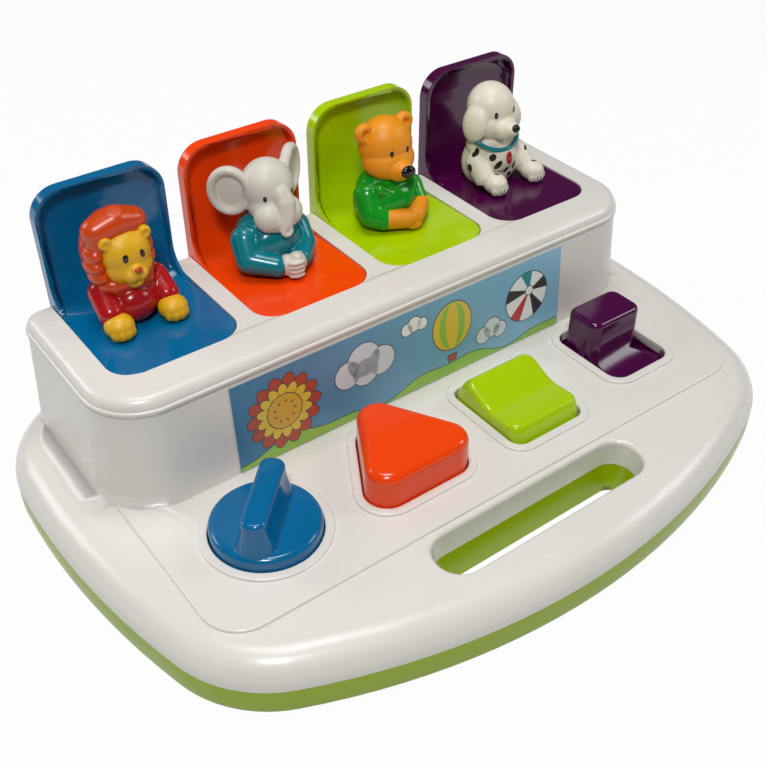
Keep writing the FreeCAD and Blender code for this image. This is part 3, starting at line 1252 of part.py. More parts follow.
def write_all():
    """Checks the document and writes each piece to a file of its own."""
    doc.recompute()
    failed = [item.Label for item in doc.Objects if {"Invalid", "Error"} & set(item.State)]
    if failed:
        raise RuntimeError("failed objects: " + ", ".join(failed))
    for piece in pieces:
        if piece.Shape.isNull() or not piece.Shape.isValid() or not piece.Shape.Solids:
            raise RuntimeError("bad shape: " + piece.Label)
    for piece in pieces:
        piece.Shape.exportStep("parts/%s.step" % piece.Label)
        box = piece.Shape.BoundBox
        print("%-20s %2d solid(s) %9.0f mm3  X %.1f..%.1f  Y %.1f..%.1f  Z %.1f..%.1f" % (
            piece.Label, len(piece.Shape.Solids), piece.Shape.Volume,
            box.XMin, box.XMax, box.YMin, box.YMax, box.ZMin, box.ZMax))


build_all()
write_all()
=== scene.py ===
"""Dresses the pop up animal toy: moulded shells, four sprung lids with painted animals, a card."""

import json
import logging
import math
from dataclasses import dataclass, field
from enum import Enum
from typing import Callable, Iterable, Sequence

import bmesh
import bpy
import numpy as np
from mathutils import Euler, Matrix, Vector
from mathutils.bvhtree import BVHTree


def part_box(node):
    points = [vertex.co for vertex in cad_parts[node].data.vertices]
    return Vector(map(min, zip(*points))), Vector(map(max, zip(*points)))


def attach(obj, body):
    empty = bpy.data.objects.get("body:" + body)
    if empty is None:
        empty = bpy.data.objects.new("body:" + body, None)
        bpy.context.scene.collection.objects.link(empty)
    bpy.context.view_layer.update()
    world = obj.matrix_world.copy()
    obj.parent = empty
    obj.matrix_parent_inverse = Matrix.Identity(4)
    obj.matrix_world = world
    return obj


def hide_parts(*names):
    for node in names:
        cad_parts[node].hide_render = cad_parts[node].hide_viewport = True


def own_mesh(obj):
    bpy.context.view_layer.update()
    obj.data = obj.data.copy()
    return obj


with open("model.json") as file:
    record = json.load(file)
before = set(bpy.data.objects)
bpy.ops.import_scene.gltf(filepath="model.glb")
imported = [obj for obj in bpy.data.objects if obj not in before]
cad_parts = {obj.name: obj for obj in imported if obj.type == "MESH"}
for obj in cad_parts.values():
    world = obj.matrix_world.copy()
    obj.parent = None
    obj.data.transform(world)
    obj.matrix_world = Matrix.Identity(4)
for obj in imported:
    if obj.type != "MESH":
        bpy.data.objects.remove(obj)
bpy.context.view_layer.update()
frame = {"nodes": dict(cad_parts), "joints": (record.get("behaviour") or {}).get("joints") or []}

LOG = logging.getLogger("toy")
Point = tuple[float, float, float]
Colour = tuple[float, float, float, float]
Material, Mesh, Object = bpy.types.Material, bpy.types.Mesh, bpy.types.Object
Tree, Node, Socket = bpy.types.NodeTree, bpy.types.Node, bpy.types.NodeSocket
MM = 0.001
# vertices nearer to each other than this, in metres, are one
WELD = 1e-6
# the lids, from left to right
COLOURS = ("blue", "orange", "lime", "purple")
# attribute of a figure's mesh: depth inside a painted mark, in millimetres
INK = "ink"
# value of that attribute where there is no mark
NO_INK = -2.0
# materials made so far, by name
MADE: dict[str, Material] = {}


# --- colour and nodes ---

def linear(hex_colour: str) -> Colour:
    """Turns an sRGB hex colour to linear light.

    Args:
        hex_colour: six hex digits, such as "E9E5DC".
    Returns:
        Red, green, blue and an alpha of 1.
    """
    values = [int(hex_colour[i:i + 2], 16) / 255 for i in (0, 2, 4)]
    # the sRGB transfer curve
    red, green, blue = (v / 12.92 if v <= 0.04045 else ((v + 0.055) / 1.055) ** 2.4 for v in values)
    return red, green, blue, 1.0


def shade(colour: Colour, factor: float, lift: float = 0.0) -> Colour:
    """A lighter or darker shade of a colour."""
    red, green, blue = (min(1.0, channel * factor + lift) for channel in colour[:3])
    return red, green, blue, 1.0


def fill(tree: Tree, node: Node, inputs: dict) -> None:
    """Sets inputs of a node.

    Args:
        tree: the node tree.
        node: the node.
        inputs: values by socket name or number; an output socket is linked instead.
    """
    for key, value in inputs.items():
        if isinstance(value, Socket):
            tree.links.new(value, node.inputs[key])
        else:
            node.inputs[key].default_value = value


def add_node(tree: Tree, kind: str, inputs: dict | None = None, **settings: object) -> Node:
    """Adds a node with its settings, values and links.

    Args:
        tree: the node tree.
        kind: the node's type name.
        inputs: what fill takes.
        settings: the node's own properties.
    Returns:
        The new node.
    """
    node = tree.nodes.new(kind)
    for name, value in settings.items():
        setattr(node, name, value)
    fill(tree, node, inputs or {})
    return node


def new_tree(owner: Material | bpy.types.World) -> Tree:
    """Gives a material or a world an empty node tree.

    Args:
        owner: the material or world.
    Returns:
        Its tree.
    """
    owner.use_nodes = True
    owner.node_tree.nodes.clear()
    return owner.node_tree


def new_material(name: str) -> tuple[Material, Tree, Node]:
    """Makes a material with nothing but its surface shader.

    Args:
        name: the material's name.
    Returns:
        The material, its tree and the surface shader.
    """
    material = bpy.data.materials.new(name)
    tree = new_tree(material)
    shader = add_node(tree, "ShaderNodeBsdfPrincipled")
    add_node(tree, "ShaderNodeOutputMaterial", {"Surface": shader.outputs[0]})
    return material, tree, shader


def place(tree: Tree) -> Socket:
    """The shaded point in the object's own coordinates, in metres."""
    return add_node(tree, "ShaderNodeTexCoord").outputs["Object"]


def per_metre(spacing: float) -> float:
    """Texture scale of a pattern whose features are so many millimetres apart."""
    return 1 / (spacing * MM)


def noise(tree: Tree, spacing: float, detail: float = 2.0) -> Socket:
    """Soft noise from 0 to 1 with features so many millimetres apart."""
    return add_node(tree, "ShaderNodeTexNoise", {"Vector": place(tree), "Scale": per_metre(spacing),
                                                 "Detail": detail}).outputs["Fac"]


def remap(tree: Tree, value: Socket, low: float, high: float, start: float = 0.0,
          end: float = 1.0) -> Socket:
    """Turns a value between start and end to one between low and high."""
    return add_node(tree, "ShaderNodeMapRange", {"Value": value, "From Min": start, "From Max": end,
                                                 "To Min": low, "To Max": high}).outputs[0]


def blend(tree: Tree, share: Socket, first: Colour | Socket, second: Colour | Socket) -> Socket:
    """Mixes two colours; the node's colour sockets are inputs 6 and 7 and output 2."""
    return add_node(tree, "ShaderNodeMix", {0: share, 6: first, 7: second},
                    data_type="RGBA").outputs[2]


def bumps(tree: Tree, height: Socket, strength: float, depth: float) -> Socket:
    """Normal of a surface with bumps so many metres deep."""
    return add_node(tree, "ShaderNodeBump", {"Height": height, "Strength": strength,
                                             "Distance": depth}).outputs[0]


# --- finishes ---

@dataclass(frozen=True)
class Finish:
    """A material that is built once, on first use."""
    name: str
    colour: str

    def material(self) -> Material:
        """Builds the material, or finds it.

        Returns:
            The one material of this finish.
        """
        if self.name not in MADE:
            MADE[self.name] = self.build()
        return MADE[self.name]

    def build(self) -> Material:
        """Makes the material; each kind of finish has its own."""
        raise NotImplementedError


@dataclass(frozen=True)
class MouldedAbs(Finish):
    """ABS from a polished mould: glossy, waving a little where it shrank."""
    gloss: float = 0.2
    # spacing of pigment clouds, changes of gloss and shrink waves, mm; depth of the waves, metres
    cloud: float = 30
    handling: float = 14
    shrinkage: float = 9
    depth: float = 0.00018

    def build(self) -> Material:
        """Gives gloss with a faint cloud in the pigment, shrink waves and changes from handling.

        Returns:
            The material.
        """
        material, tree, shader = new_material(self.name)
        base = linear(self.colour)
        fill(tree, shader, {
            "Base Color": blend(tree, noise(tree, self.cloud), base, shade(base, 0.94)),
            "Roughness": remap(tree, noise(tree, self.handling), self.gloss * 0.85,
                               self.gloss * 1.15),
            "Normal": bumps(tree, noise(tree, self.shrinkage, 0.5), 0.1, self.depth),
            "IOR": 1.53})
        return material


@dataclass(frozen=True)
class PaintedVinyl(Finish):
    """Soft vinyl, cast and hand painted: rounder highlights than ABS, and paint of uneven depth."""
    gloss: float = 0.42
    ink: str = "060506"
    # spacing of thick patches and of dimples, mm; depth of the dimples, metres
    patches: float = 7
    dimples: float = 2.2
    depth: float = 0.00012

    def build(self) -> Material:
        """Gives paint on softly dimpled skin, with black marks where the ink is.

        Returns:
            The material.
        """
        material, tree, shader = new_material(self.name)
        base = linear(self.colour)
        paint = noise(tree, self.patches)
        tint = blend(tree, paint, shade(base, 1.04, 0.004), shade(base, 0.93))
        # a mark's edge fades over the last 0.14 mm
        mark = add_node(tree, "ShaderNodeAttribute", attribute_name=INK).outputs["Fac"]
        edge = remap(tree, mark, 0.0, 1.0, -0.04, 0.1)
        fill(tree, shader, {
            "Base Color": blend(tree, edge, tint, linear(self.ink)),
            "Roughness": remap(tree, paint, self.gloss * 0.85, self.gloss * 1.2),
            "Normal": bumps(tree, noise(tree, self.dimples, 1.0), 0.25, self.depth),
            "IOR": 1.5})
        return material


@dataclass(frozen=True)
class PrintedFilm(Finish):
    """Offset ink on a coated card under clear film; the far colour is at the card's right end."""
    far: str = ""
    # half the card's length, metres; spacing of print dots, mm, coarser than real to show at all
    half_length: float = 0.09
    dots: float = 0.5

    def build(self) -> Material:
        """Gives ink that may shade from one colour to another along the card, with fine dots.

        Returns:
            The material.
        """
        material, tree, shader = new_material(self.name)
        along = add_node(tree, "ShaderNodeSeparateXYZ", {0: place(tree)}).outputs[0]
        share = remap(tree, along, 0.0, 1.0, -self.half_length, self.half_length)
        base = blend(tree, share, linear(self.colour), linear(self.far or self.colour))
        dots = add_node(tree, "ShaderNodeTexVoronoi",
                        {"Vector": place(tree), "Scale": per_metre(self.dots)})
        fill(tree, shader, {
            "Base Color": blend(tree, remap(tree, dots.outputs["Distance"], 0.0, 0.06), base,
                                linear("FFFFFF")),
            "Roughness": 0.34, "IOR": 1.49, "Coat Weight": 0.1, "Coat Roughness": 0.15})
        return material


@dataclass(frozen=True)
class DrawnSteel(Finish):
    """Bright zinc-plated or drawn steel: metallic, with fine scratches."""
    gloss: float = 0.3
    # spacing, mm
    scratches: float = 0.4

    def build(self) -> Material:
        """Gives metal with fine drawing marks.

        Returns:
            The material.
        """
        material, tree, shader = new_material(self.name)
        marks = noise(tree, self.scratches)
        fill(tree, shader, {"Base Color": linear(self.colour), "Metallic": 1.0,
                            "Roughness": remap(tree, marks, self.gloss * 0.8, self.gloss * 1.4)})
        return material


@dataclass(frozen=True)
class NaturalAcetal(Finish):
    """Unpigmented acetal: milky, slippery and a little translucent."""
    # spacing of flow marks, mm
    flow: float = 12

    def build(self) -> Material:
        """Gives milky plastic with a soft gloss.

        Returns:
            The material.
        """
        material, tree, shader = new_material(self.name)
        base = linear(self.colour)
        fill(tree, shader, {
            "Base Color": blend(tree, noise(tree, self.flow), base, shade(base, 0.9)),
            "Roughness": 0.35, "Subsurface Weight": 0.1, "Subsurface Scale": 0.002})
        return material


class Paint(Enum):
    """Every finish of the toy."""
    WHITE = MouldedAbs("polished_white_abs", "E6E2DB", 0.28)
    GREEN = MouldedAbs("polished_green_abs", "93AE00", 0.24)
    BLUE = MouldedAbs("polished_blue_abs", "00679A", 0.15)
    ORANGE = MouldedAbs("polished_orange_abs", "FA4602", 0.16)
    LIME = MouldedAbs("polished_lime_abs", "AED200", 0.16)
    PURPLE = MouldedAbs("polished_purple_abs", "48003E", 0.14)
    MANE = PaintedVinyl("mane_orange_paint", "CE4204", 0.27)
    YELLOW = PaintedVinyl("warm_yellow_paint", "E2AC08")
    RED = PaintedVinyl("jumper_red_paint", "AE0C12", 0.2)
    NOSE_RED = PaintedVinyl("nose_red_paint", "DE3A16", 0.2)
    CREAM_GREY = PaintedVinyl("cream_grey_paint", "D6D0C4", 0.46)
    TEAL = PaintedVinyl("jumper_teal_paint", "007C88", 0.2)
    GOLDEN = PaintedVinyl("golden_orange_paint", "EE9400", 0.44)
    JUMPER_GREEN = PaintedVinyl("jumper_green_paint", "06971A", 0.2)
    CREAM = PaintedVinyl("cream_paint", "E6DFCB")
    TAG = PaintedVinyl("tag_red_paint", "C8101A", 0.2)
    BLACK = PaintedVinyl("black_paint", "0B0A0B", 0.16)
    STEEL = DrawnSteel("bright_zinc_steel", "C4C4C0", 0.28)
    SPRING = DrawnSteel("drawn_spring_steel", "8E8E8C", 0.34)
    ACETAL = NaturalAcetal("moulded_natural_acetal", "E6E4DC")
    SKY = PrintedFilm("sky_ink", "12719C", "86BEDA")
    INK_LINE = PrintedFilm("outline_ink", "1C2A3E")
    RUST = PrintedFilm("rust_ink", "B23A16")
    AMBER = PrintedFilm("amber_ink", "E2C02C")
    SEED = PrintedFilm("seed_ink", "D8A81C")
    HILL = PrintedFilm("hill_ink", "8DBE3A")
    CLOUD = PrintedFilm("cloud_ink", "D3DCE0")
    CARD_WHITE = PrintedFilm("bare_card_ink", "F0F1EE")
    BLACK_INK = PrintedFilm("black_ink", "20201F")
    TEAL_INK = PrintedFilm("teal_ink", "1C8C96")
    RED_INK = PrintedFilm("red_ink", "C22A22")


# --- mesh helpers ---

def around(count: int, first: float = 0.0) -> list[float]:
    """Angles of equal steps round a circle, in radians, from a first one in degrees."""
    return [math.radians(step * 360 / count + first) for step in range(count)]


def link_object(name: str, mesh: Mesh) -> Object:
    """Puts a mesh into the scene as an object at the origin.

    Args:
        name: the object's name.
        mesh: its mesh.
    Returns:
        The object.
    """
    obj = bpy.data.objects.new(name, mesh)
    bpy.context.scene.collection.objects.link(obj)
    return obj


def to_mesh(name: str, work: bmesh.types.BMesh) -> Mesh:
    """Turns an edit mesh into a plain one and frees it.

    Args:
        name: name of the mesh.
        work: the edit mesh.
    Returns:
        The plain mesh.
    """
    mesh = bpy.data.meshes.new(name)
    work.to_mesh(mesh)
    work.free()
    return mesh


def settle(obj: Object) -> Object:
    """Applies all modifiers of an object by swapping in its evaluated mesh.

    Args:
        obj: the object, with its modifiers.
    Returns:
        The same object with a plain mesh.
    """
    graph = bpy.context.evaluated_depsgraph_get()
    mesh = bpy.data.meshes.new_from_object(obj.evaluated_get(graph))
    obj.modifiers.clear()
    obj.data = mesh
    return obj


def dress(obj: Object, paint: Paint) -> Object:
    """Gives an object one finish and smooth shading.

    Args:
        obj: the object.
        paint: its finish.
    Returns:
        The same object.
    """
    obj.data.materials.clear()
    obj.data.materials.append(paint.value.material())
    obj.data.shade_smooth()
    return obj


def stand_in(node: str, paint: Paint, body: str, crease: float = 32) -> Object:
    """Replaces a piece of the frame by a copy, smooth-shaded between its creases.

    Args:
        node: the piece's name.
        paint: its finish.
        body: what it rides on.
        crease: angle in degrees above which an edge stays sharp.
    Returns:
        The copy.
    """
    mesh = frame["nodes"][node].data.copy()
    # the frame's triangles are loose, so their corners are joined first
    work = bmesh.new()
    work.from_mesh(mesh)
    bmesh.ops.remove_doubles(work, verts=work.verts, dist=WELD)
    work.to_mesh(mesh)
    work.free()
    piece = dress(link_object(node + "_moulding", mesh), paint)
    mesh.set_sharp_from_angle(angle=math.radians(crease))
    # large flat faces stay flat, and the bending of the light is left to the roundings
    even = piece.modifiers.new("Even", "WEIGHTED_NORMAL")
    even.keep_sharp = True
    even.weight = 50
    settle(piece)
    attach(piece, body)
    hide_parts(node)
    LOG.info("%s: %d faces", piece.name, len(piece.data.polygons))
    return piece


# --- animals ---

@dataclass
class Lump:
    """An ellipsoid of clay: its middle, half axes and turn in degrees."""
    at: Point
    size: Point
    turn: Point = (0.0, 0.0, 0.0)

    def matrix(self, to_world: Callable[[Point], Vector]) -> Matrix:
        """Works out where this lump is.

        Args:
            to_world: turns a place in mm to one on the toy, in metres.
        Returns:
            Transform of a unit sphere to the lump.
        """
        turn = Euler([math.radians(angle) for angle in self.turn]).to_matrix().to_4x4()
        scale = Matrix.Diagonal(Vector(self.size) * MM).to_4x4()
        return Matrix.Translation(to_world(self.at)) @ turn @ scale


def limb(*stations: tuple[float, float, float, float], steps: int = 14) -> list[Lump]:
    """Rolls a limb of clay.

    Args:
        stations: middle and radius of the ball at each joint.
        steps: number of balls from one joint to the next.
    Returns:
        The balls, in a row.
    """
    lumps = []
    for (*start, first), (*end, last) in zip(stations, stations[1:]):
        for step in range(steps):
            share = step / (steps - 1)
            radius = first + (last - first) * share
            lumps.append(Lump(tuple(Vector(start).lerp(Vector(end), share)), (radius,) * 3))
    return lumps


def wreath(middle: Point, across: Point, up: Point, size: Point, count: int,
           first: float = 0.0) -> list[Lump]:
    """Lays equal lumps in an oval ring, whose side is across from its middle and its top up."""
    return [Lump(tuple(m + x * math.cos(a) + y * math.sin(a)
                       for m, x, y in zip(middle, across, up)), size) for a in around(count, first)]


def toes(paw: Point, reach: float, radius: float,
         angles: Sequence[float] = (-48, -17, 14, 45), lift: float = 0.9) -> list[Lump]:
    """Sets toes round the front of a paw.

    Args:
        paw: middle of the paw.
        reach: from there to the toes.
        radius: of each toe; a toe is a little longer and taller than wide.
        angles: where they point, in degrees from straight ahead.
        lift: height of a toe's underside.
    Returns:
        One lump for each toe.
    """
    return [Lump((paw[0] + reach * math.sin(math.radians(a)),
                  paw[1] - reach * math.cos(math.radians(a)), radius + lift),
                 (radius, radius * 1.15, radius * 1.25), (0, 0, a)) for a in angles]


@dataclass
class Animal:
    """A painted figure on a lid, within its swing room round the hinge and before the lid's back.

    Places are in mm: x from the lid's middle, y as the toy's, z over the lid's floor."""
    name: str
    lid: str
    voxel: float = 0.42
    large: float = 6.0
    foot_gap: float = 0.02
    swing_room: float = 58.4
    rear: float = 84.9
    origin: Vector = field(init=False)
    hinge: np.ndarray = field(init=False)
    parts: list[Object] = field(default_factory=list)

    def __post_init__(self) -> None:
        """Reads the lid's middle, floor and hinge from the frame."""
        low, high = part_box(self.lid)
        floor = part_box(self.name + "_figure")[0].z
        self.origin = Vector(((low.x + high.x) / 2, 0, floor))
        self.hinge = next(np.array(joint["pos_m"][1:]) for joint in frame["joints"]
                          if joint["child"] == self.lid)

    def world(self, at: Point) -> Vector:
        """A place on the toy, in metres."""
        return self.origin + Vector(at) * MM

    def keep(self, obj: Object, paint: Paint) -> Object:
        """Dresses a part and adds it to the figure."""
        self.parts.append(dress(obj, paint))
        return obj

    def clay(self, part: str, lumps: Iterable[Lump], paint: Paint, smooth: int = 6,
             marks: Sequence[Lump] = ()) -> Object:
        """Joins lumps into one softly blended form.

        Args:
            part: name of the form.
            lumps: what it is made of.
            paint: its finish.
            smooth: how often it is smoothed.
            marks: where black marks are painted on it.
        Returns:
            The form.
        """
        work = bmesh.new()
        for lump in lumps:
            bmesh.ops.create_icosphere(work, subdivisions=4 if max(lump.size) > self.large else 3,
                                       radius=1, matrix=lump.matrix(self.world))
        name = self.name + "_" + part
        obj = link_object(name, to_mesh(name, work))
        remesh = obj.modifiers.new("Join", "REMESH")
        remesh.mode = "VOXEL"
        remesh.voxel_size = self.voxel * MM
        soften = obj.modifiers.new("Soften", "SMOOTH")
        soften.factor = 0.5
        soften.iterations = smooth
        settle(obj)
        self.fit(obj.data, marks)
        return self.keep(obj, paint)

    def fit(self, mesh: Mesh, marks: Sequence[Lump]) -> None:
        """Keeps a form in its room on the lid, and measures the depth of each painted mark.

        Args:
            mesh: the form.
            marks: the painted marks.
        """
        places = np.empty(len(mesh.vertices) * 3, np.float32)
        mesh.vertices.foreach_get("co", places)
        places = places.reshape(-1, 3)
        places[:, 1] = np.minimum(places[:, 1], self.rear * MM)
        arms = places[:, 1:] - self.hinge
        reach = np.maximum(np.linalg.norm(arms, axis=1), MM)
        places[:, 1:] = self.hinge + arms * np.minimum(1, self.swing_room * MM / reach)[:, None]
        places[:, 2] = np.maximum(places[:, 2], self.origin.z + self.foot_gap * MM)
        mesh.vertices.foreach_set("co", places.ravel())
        depth = np.full(len(places), NO_INK)
        for mark in marks:
            inward = np.array(mark.matrix(self.world).inverted())
            local = places @ inward[:3, :3].T + inward[:3, 3]
            depth = np.maximum(depth, (1 - np.linalg.norm(local, axis=1)) * min(mark.size))
        mesh.attributes.new(INK, "FLOAT", "POINT").data.foreach_set("value", depth)
        mesh.update()

    def bead(self, part: str, form: Object, x: float, z: float, size: Point, paint: Paint,
             turn: float = 0.0) -> Object:
        """Sets a painted bead, such as an eye, on the front of a form.

        Args:
            part: name of the bead.
            form: what it sits on.
            x: its place from the lid's middle.
            z: its height over the floor.
            size: half its width, depth and height.
            paint: its finish.
            turn: its turn on the surface, in degrees.
        Returns:
            The bead.
        """
        surface = BVHTree.FromPolygons([v.co for v in form.data.vertices],
                                       [p.vertices for p in form.data.polygons])
        spot, normal, _, _ = surface.ray_cast(self.world((x, 0, z)), Vector((0, 1, 0)))
        face = (-normal).to_track_quat("Y", "Z").to_matrix().to_4x4()
        face = face @ Matrix.Rotation(math.radians(turn), 4, "Y")
        matrix = Matrix.Translation(spot) @ face @ Matrix.Diagonal(Vector(size) * MM).to_4x4()
        work = bmesh.new()
        bmesh.ops.create_uvsphere(work, u_segments=28, v_segments=18, radius=1, matrix=matrix)
        name = self.name + "_" + part
        return self.keep(link_object(name, to_mesh(name, work)), paint)

    def eyes(self, form: Object, left: float, right: float, z: float, size: Point,
             turn: float = 0.0) -> None:
        """Sets two black eyes at the same height, turned towards each other."""
        self.bead("left_eye", form, left, z, size, Paint.BLACK, turn)
        self.bead("right_eye", form, right, z, size, Paint.BLACK, -turn)

    def build(self) -> None:
        """Makes the parts; each animal has its own."""
        raise NotImplementedError

    def finish(self) -> None:
        """Builds the figure and sets it on its lid."""
        self.build()
        for part in self.parts:
            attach(part, self.lid)
        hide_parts(self.name + "_figure")
        LOG.info("%s: %d parts", self.name, len(self.parts))


class Lion(Animal):
    """Thick orange mane, yellow face and paws, red jumper."""

    def build(self) -> None:
        """Makes the lion."""
        self.clay("jumper", (
            Lump((-2, 71, 9), (14.5, 12, 13.5)), Lump((-2, 71, 16), (13.6, 10.5, 9.5)),
            Lump((-3, 62.5, 8), (9, 6.5, 8)),
            *limb((-13.6, 69, 13.6, 6), (-14.6, 61, 8.2, 5.4)),
            *limb((9.4, 69.5, 12.6, 5.8), (10.4, 61, 8, 5.1)),
        ), Paint.RED, 9)
        self.clay("mane", self.locks(), Paint.MANE, 3)
        face = self.clay("face", (
            Lump((-2.6, 66, 30.4), (10.6, 8.6, 10.2)), Lump((-2.6, 64.6, 25), (10, 7.6, 7)),
            Lump((-2.6, 61, 25), (6.2, 5, 5)),
            Lump((-4.7, 58.2, 24), (3.3, 3.2, 3)), Lump((-0.5, 58.2, 24), (3.3, 3.2, 3)),
            Lump((-2.6, 57.6, 26.4), (2.6, 3, 2.4)), Lump((-2.6, 60, 19.6), (3.6, 3, 2.2)),
            *self.ear(-11, 37.8), *self.ear(5.6, 37.8),
        ), Paint.YELLOW, 7, marks=(Lump((-2.6, 56, 21.5), (3.6, 4, 0.22)),))
        for side, x, z in (("left", -13.9, 4.9), ("right", 9.8, 4.6)):
            paw = (Lump((x, 56, z), (6.2, 6.2, 5)), *toes((x, 55.4, z), 3.9, 2.3))
            self.clay(side + "_paw", paw, Paint.YELLOW, 3)
        self.eyes(face, -5.8, 1.5, 32, (1.15, 0.5, 1.75), 8)
        self.bead("nose", face, -2.5, 27.2, (1.7, 1.1, 1.2), Paint.NOSE_RED)

    def locks(self) -> list[Lump]:
        """The mane: a wreath of locks, a thick roll over the brow and a beard under the chin."""
        return [
            Lump((-4.2, 74, 30), (13.6, 8.6, 16.6)),
            *wreath((-4.4, 68.6, 28), (10.6, 0, 0), (0, 1.6, 13), (4.2, 6.4, 3.9), 17, 12),
            *limb((-11.6, 69.5, 40.4, 6), (-3.4, 69.2, 42.6, 6.6), (4, 69.6, 40.8, 5.6)),
            *limb((-10, 63.6, 18.4, 3.6), (3.4, 63.6, 18, 3.6)),
        ]

    def ear(self, x: float, z: float) -> list[Lump]:
        """A round ear, thinner in its middle."""
        return [*wreath((x, 63.4, z), (1.7, 0, 0), (0, 0, 1.7), (1.1, 1.7, 1.1), 24),
                Lump((x, 63.8, z), (1.9, 1.5, 1.9))]


class Elephant(Animal):
    """Cream-grey head with large cupped ears and a trunk, teal jumper, clasped hands."""

    def build(self) -> None:
        """Makes the elephant."""
        self.clay("jumper", (
            Lump((0, 71, 9), (16.2, 12.4, 14)), Lump((0.5, 71, 16.6), (15, 10.5, 9.5)),
            Lump((0, 64, 12), (13, 7.4, 9.5)),
            *limb((-12.6, 68.6, 14.4, 6.6), (-14.4, 63, 7.6, 5.8), (-5.6, 54.6, 5.9, 5)),
            *limb((13, 68.6, 13, 6.2), (13, 62.4, 7.2, 5.4), (6.4, 54.8, 5.7, 4.8)),
        ), Paint.TEAL, 10)
        head = self.clay("head", (
            Lump((1.4, 70.8, 35.4), (11.6, 11.2, 12)), Lump((0.8, 67.6, 28.6), (10.4, 9.6, 8.4)),
            Lump((-3.8, 62, 25.6), (6.6, 6.4, 6.6)), Lump((5.8, 62, 26), (6.2, 6.4, 6.6)),
            Lump((0.6, 60.8, 24.6), (8.8, 6.2, 6.2)),
            *self.ear((-14, 75.6, 35.6), -40), *self.ear((16, 75.6, 37), 40),
            *limb((2.2, 61.4, 35.4, 4.3), (2.6, 59, 31.6, 4.6), (2, 58, 27, 4.4),
                  (0.4, 57, 23.6, 3.8)),
            *self.snout((0.2, 54.6, 21.4)),
        ), Paint.CREAM_GREY, 12, marks=(Lump((-4.6, 57, 23), (1.6, 3, 0.22), (0, -30, 0)),))
        fingers = [Lump((0.4, 48.6, 2.3 + 2.1 * step), (3.8, 2.2, 1.15), (0, 0, -12))
                   for step in range(4)]
        self.clay("hands", (
            Lump((-1.6, 53, 5.8), (4.6, 4.6, 5)), Lump((3, 52.6, 5.8), (4.3, 4.6, 5)),
            Lump((1.6, 51, 10), (2.4, 3, 1.8)), *fingers,
        ), Paint.CREAM_GREY, 3)
        self.eyes(head, -5.2, 8, 34.6, (0.85, 0.45, 1.35))

    def snout(self, at: Point) -> list[Lump]:
        """The rolled rim at the end of the trunk."""
        return wreath(at, (2.1, 0, 0), (0, 0.5, 1.9), (1.1, 1.3, 1.1), 18)

    def ear(self, at: Point, swept: float) -> list[Lump]:
        """A cupped ear: a thin shell with a rolled rim.

        Args:
            at: its middle.
            swept: how far it is swept back, in degrees.
        Returns:
            Its lumps.
        """
        middle, turn = Vector(at), (0, 0, swept)
        along = Vector((math.cos(math.radians(swept)), math.sin(math.radians(swept)), 0))
        behind = Vector((-along.y, along.x, 0)) * 1.2
        rim = [Lump(tuple(middle + along * 7.9 * math.cos(a) + Vector((0, 0, 9.4 * math.sin(a)))),
                    (1.9, 2.4, 1.9), turn) for a in around(60)]
        return [Lump(tuple(middle + behind), (8.4, 1.7, 9.8), turn), *rim]


class Bear(Animal):
    """Golden-orange head and forearms, green jumper with a crossed collar."""

    def build(self) -> None:
        """Makes the bear."""
        self.clay("jumper", (
            Lump((-1.6, 71, 9), (15.4, 12.4, 14)), Lump((-1.4, 71, 16.6), (14.4, 10.5, 9.5)),
            Lump((-1, 63.6, 11), (12, 7.2, 9)),
            *limb((-12.8, 68.6, 14.6, 6.6), (-14.2, 63.4, 7.8, 6), (-10.4, 59.4, 6, 5.3)),
            *limb((11.6, 68, 13, 5.6), (11.2, 62.4, 7.6, 5.2)),
            *limb((-9.6, 63, 19, 3), (1.6, 58.6, 11.4, 2.4)),
            *limb((8, 63, 18.6, 3.2), (1.6, 58.4, 11.6, 2.6)),
        ), Paint.JUMPER_GREEN, 8)
        head = self.clay("head", (
            Lump((-0.6, 71.6, 36.2), (12.8, 11.8, 12.6)), Lump((-0.8, 68.8, 30), (12.6, 10.8, 9.4)),
            Lump((-0.8, 60.6, 27.8), (6.4, 5.4, 5.4)), Lump((-0.8, 57.8, 28.6), (5, 4.2, 4.2)),
            *self.ear(-12.2), *self.ear(9.8),
        ), Paint.GOLDEN, 5)
        self.clay("forearms", (
            *limb((-8.4, 58, 5.9, 4.8), (-0.6, 54, 5.5, 4.6)),
            *limb((11, 60.6, 6.6, 5), (4, 54.4, 5.7, 4.7)),
            *toes((2, 54.4, 5), 3.2, 1.9, (-30, 0, 30)),
        ), Paint.GOLDEN, 4)
        self.eyes(head, -4.9, 3.7, 36.2, (0.9, 0.5, 1.5))
        self.bead("nose", head, -0.8, 29.2, (3.7, 1.9, 2.8), Paint.BLACK)

    def ear(self, x: float) -> list[Lump]:
        """A round ear with a hollow in front."""
        return [*wreath((x, 71.6, 44), (3, 0, 0), (0, 0, 3), (1.7, 2.4, 1.7), 15),
                Lump((x, 72.6, 44), (3.2, 1.6, 3.2))]


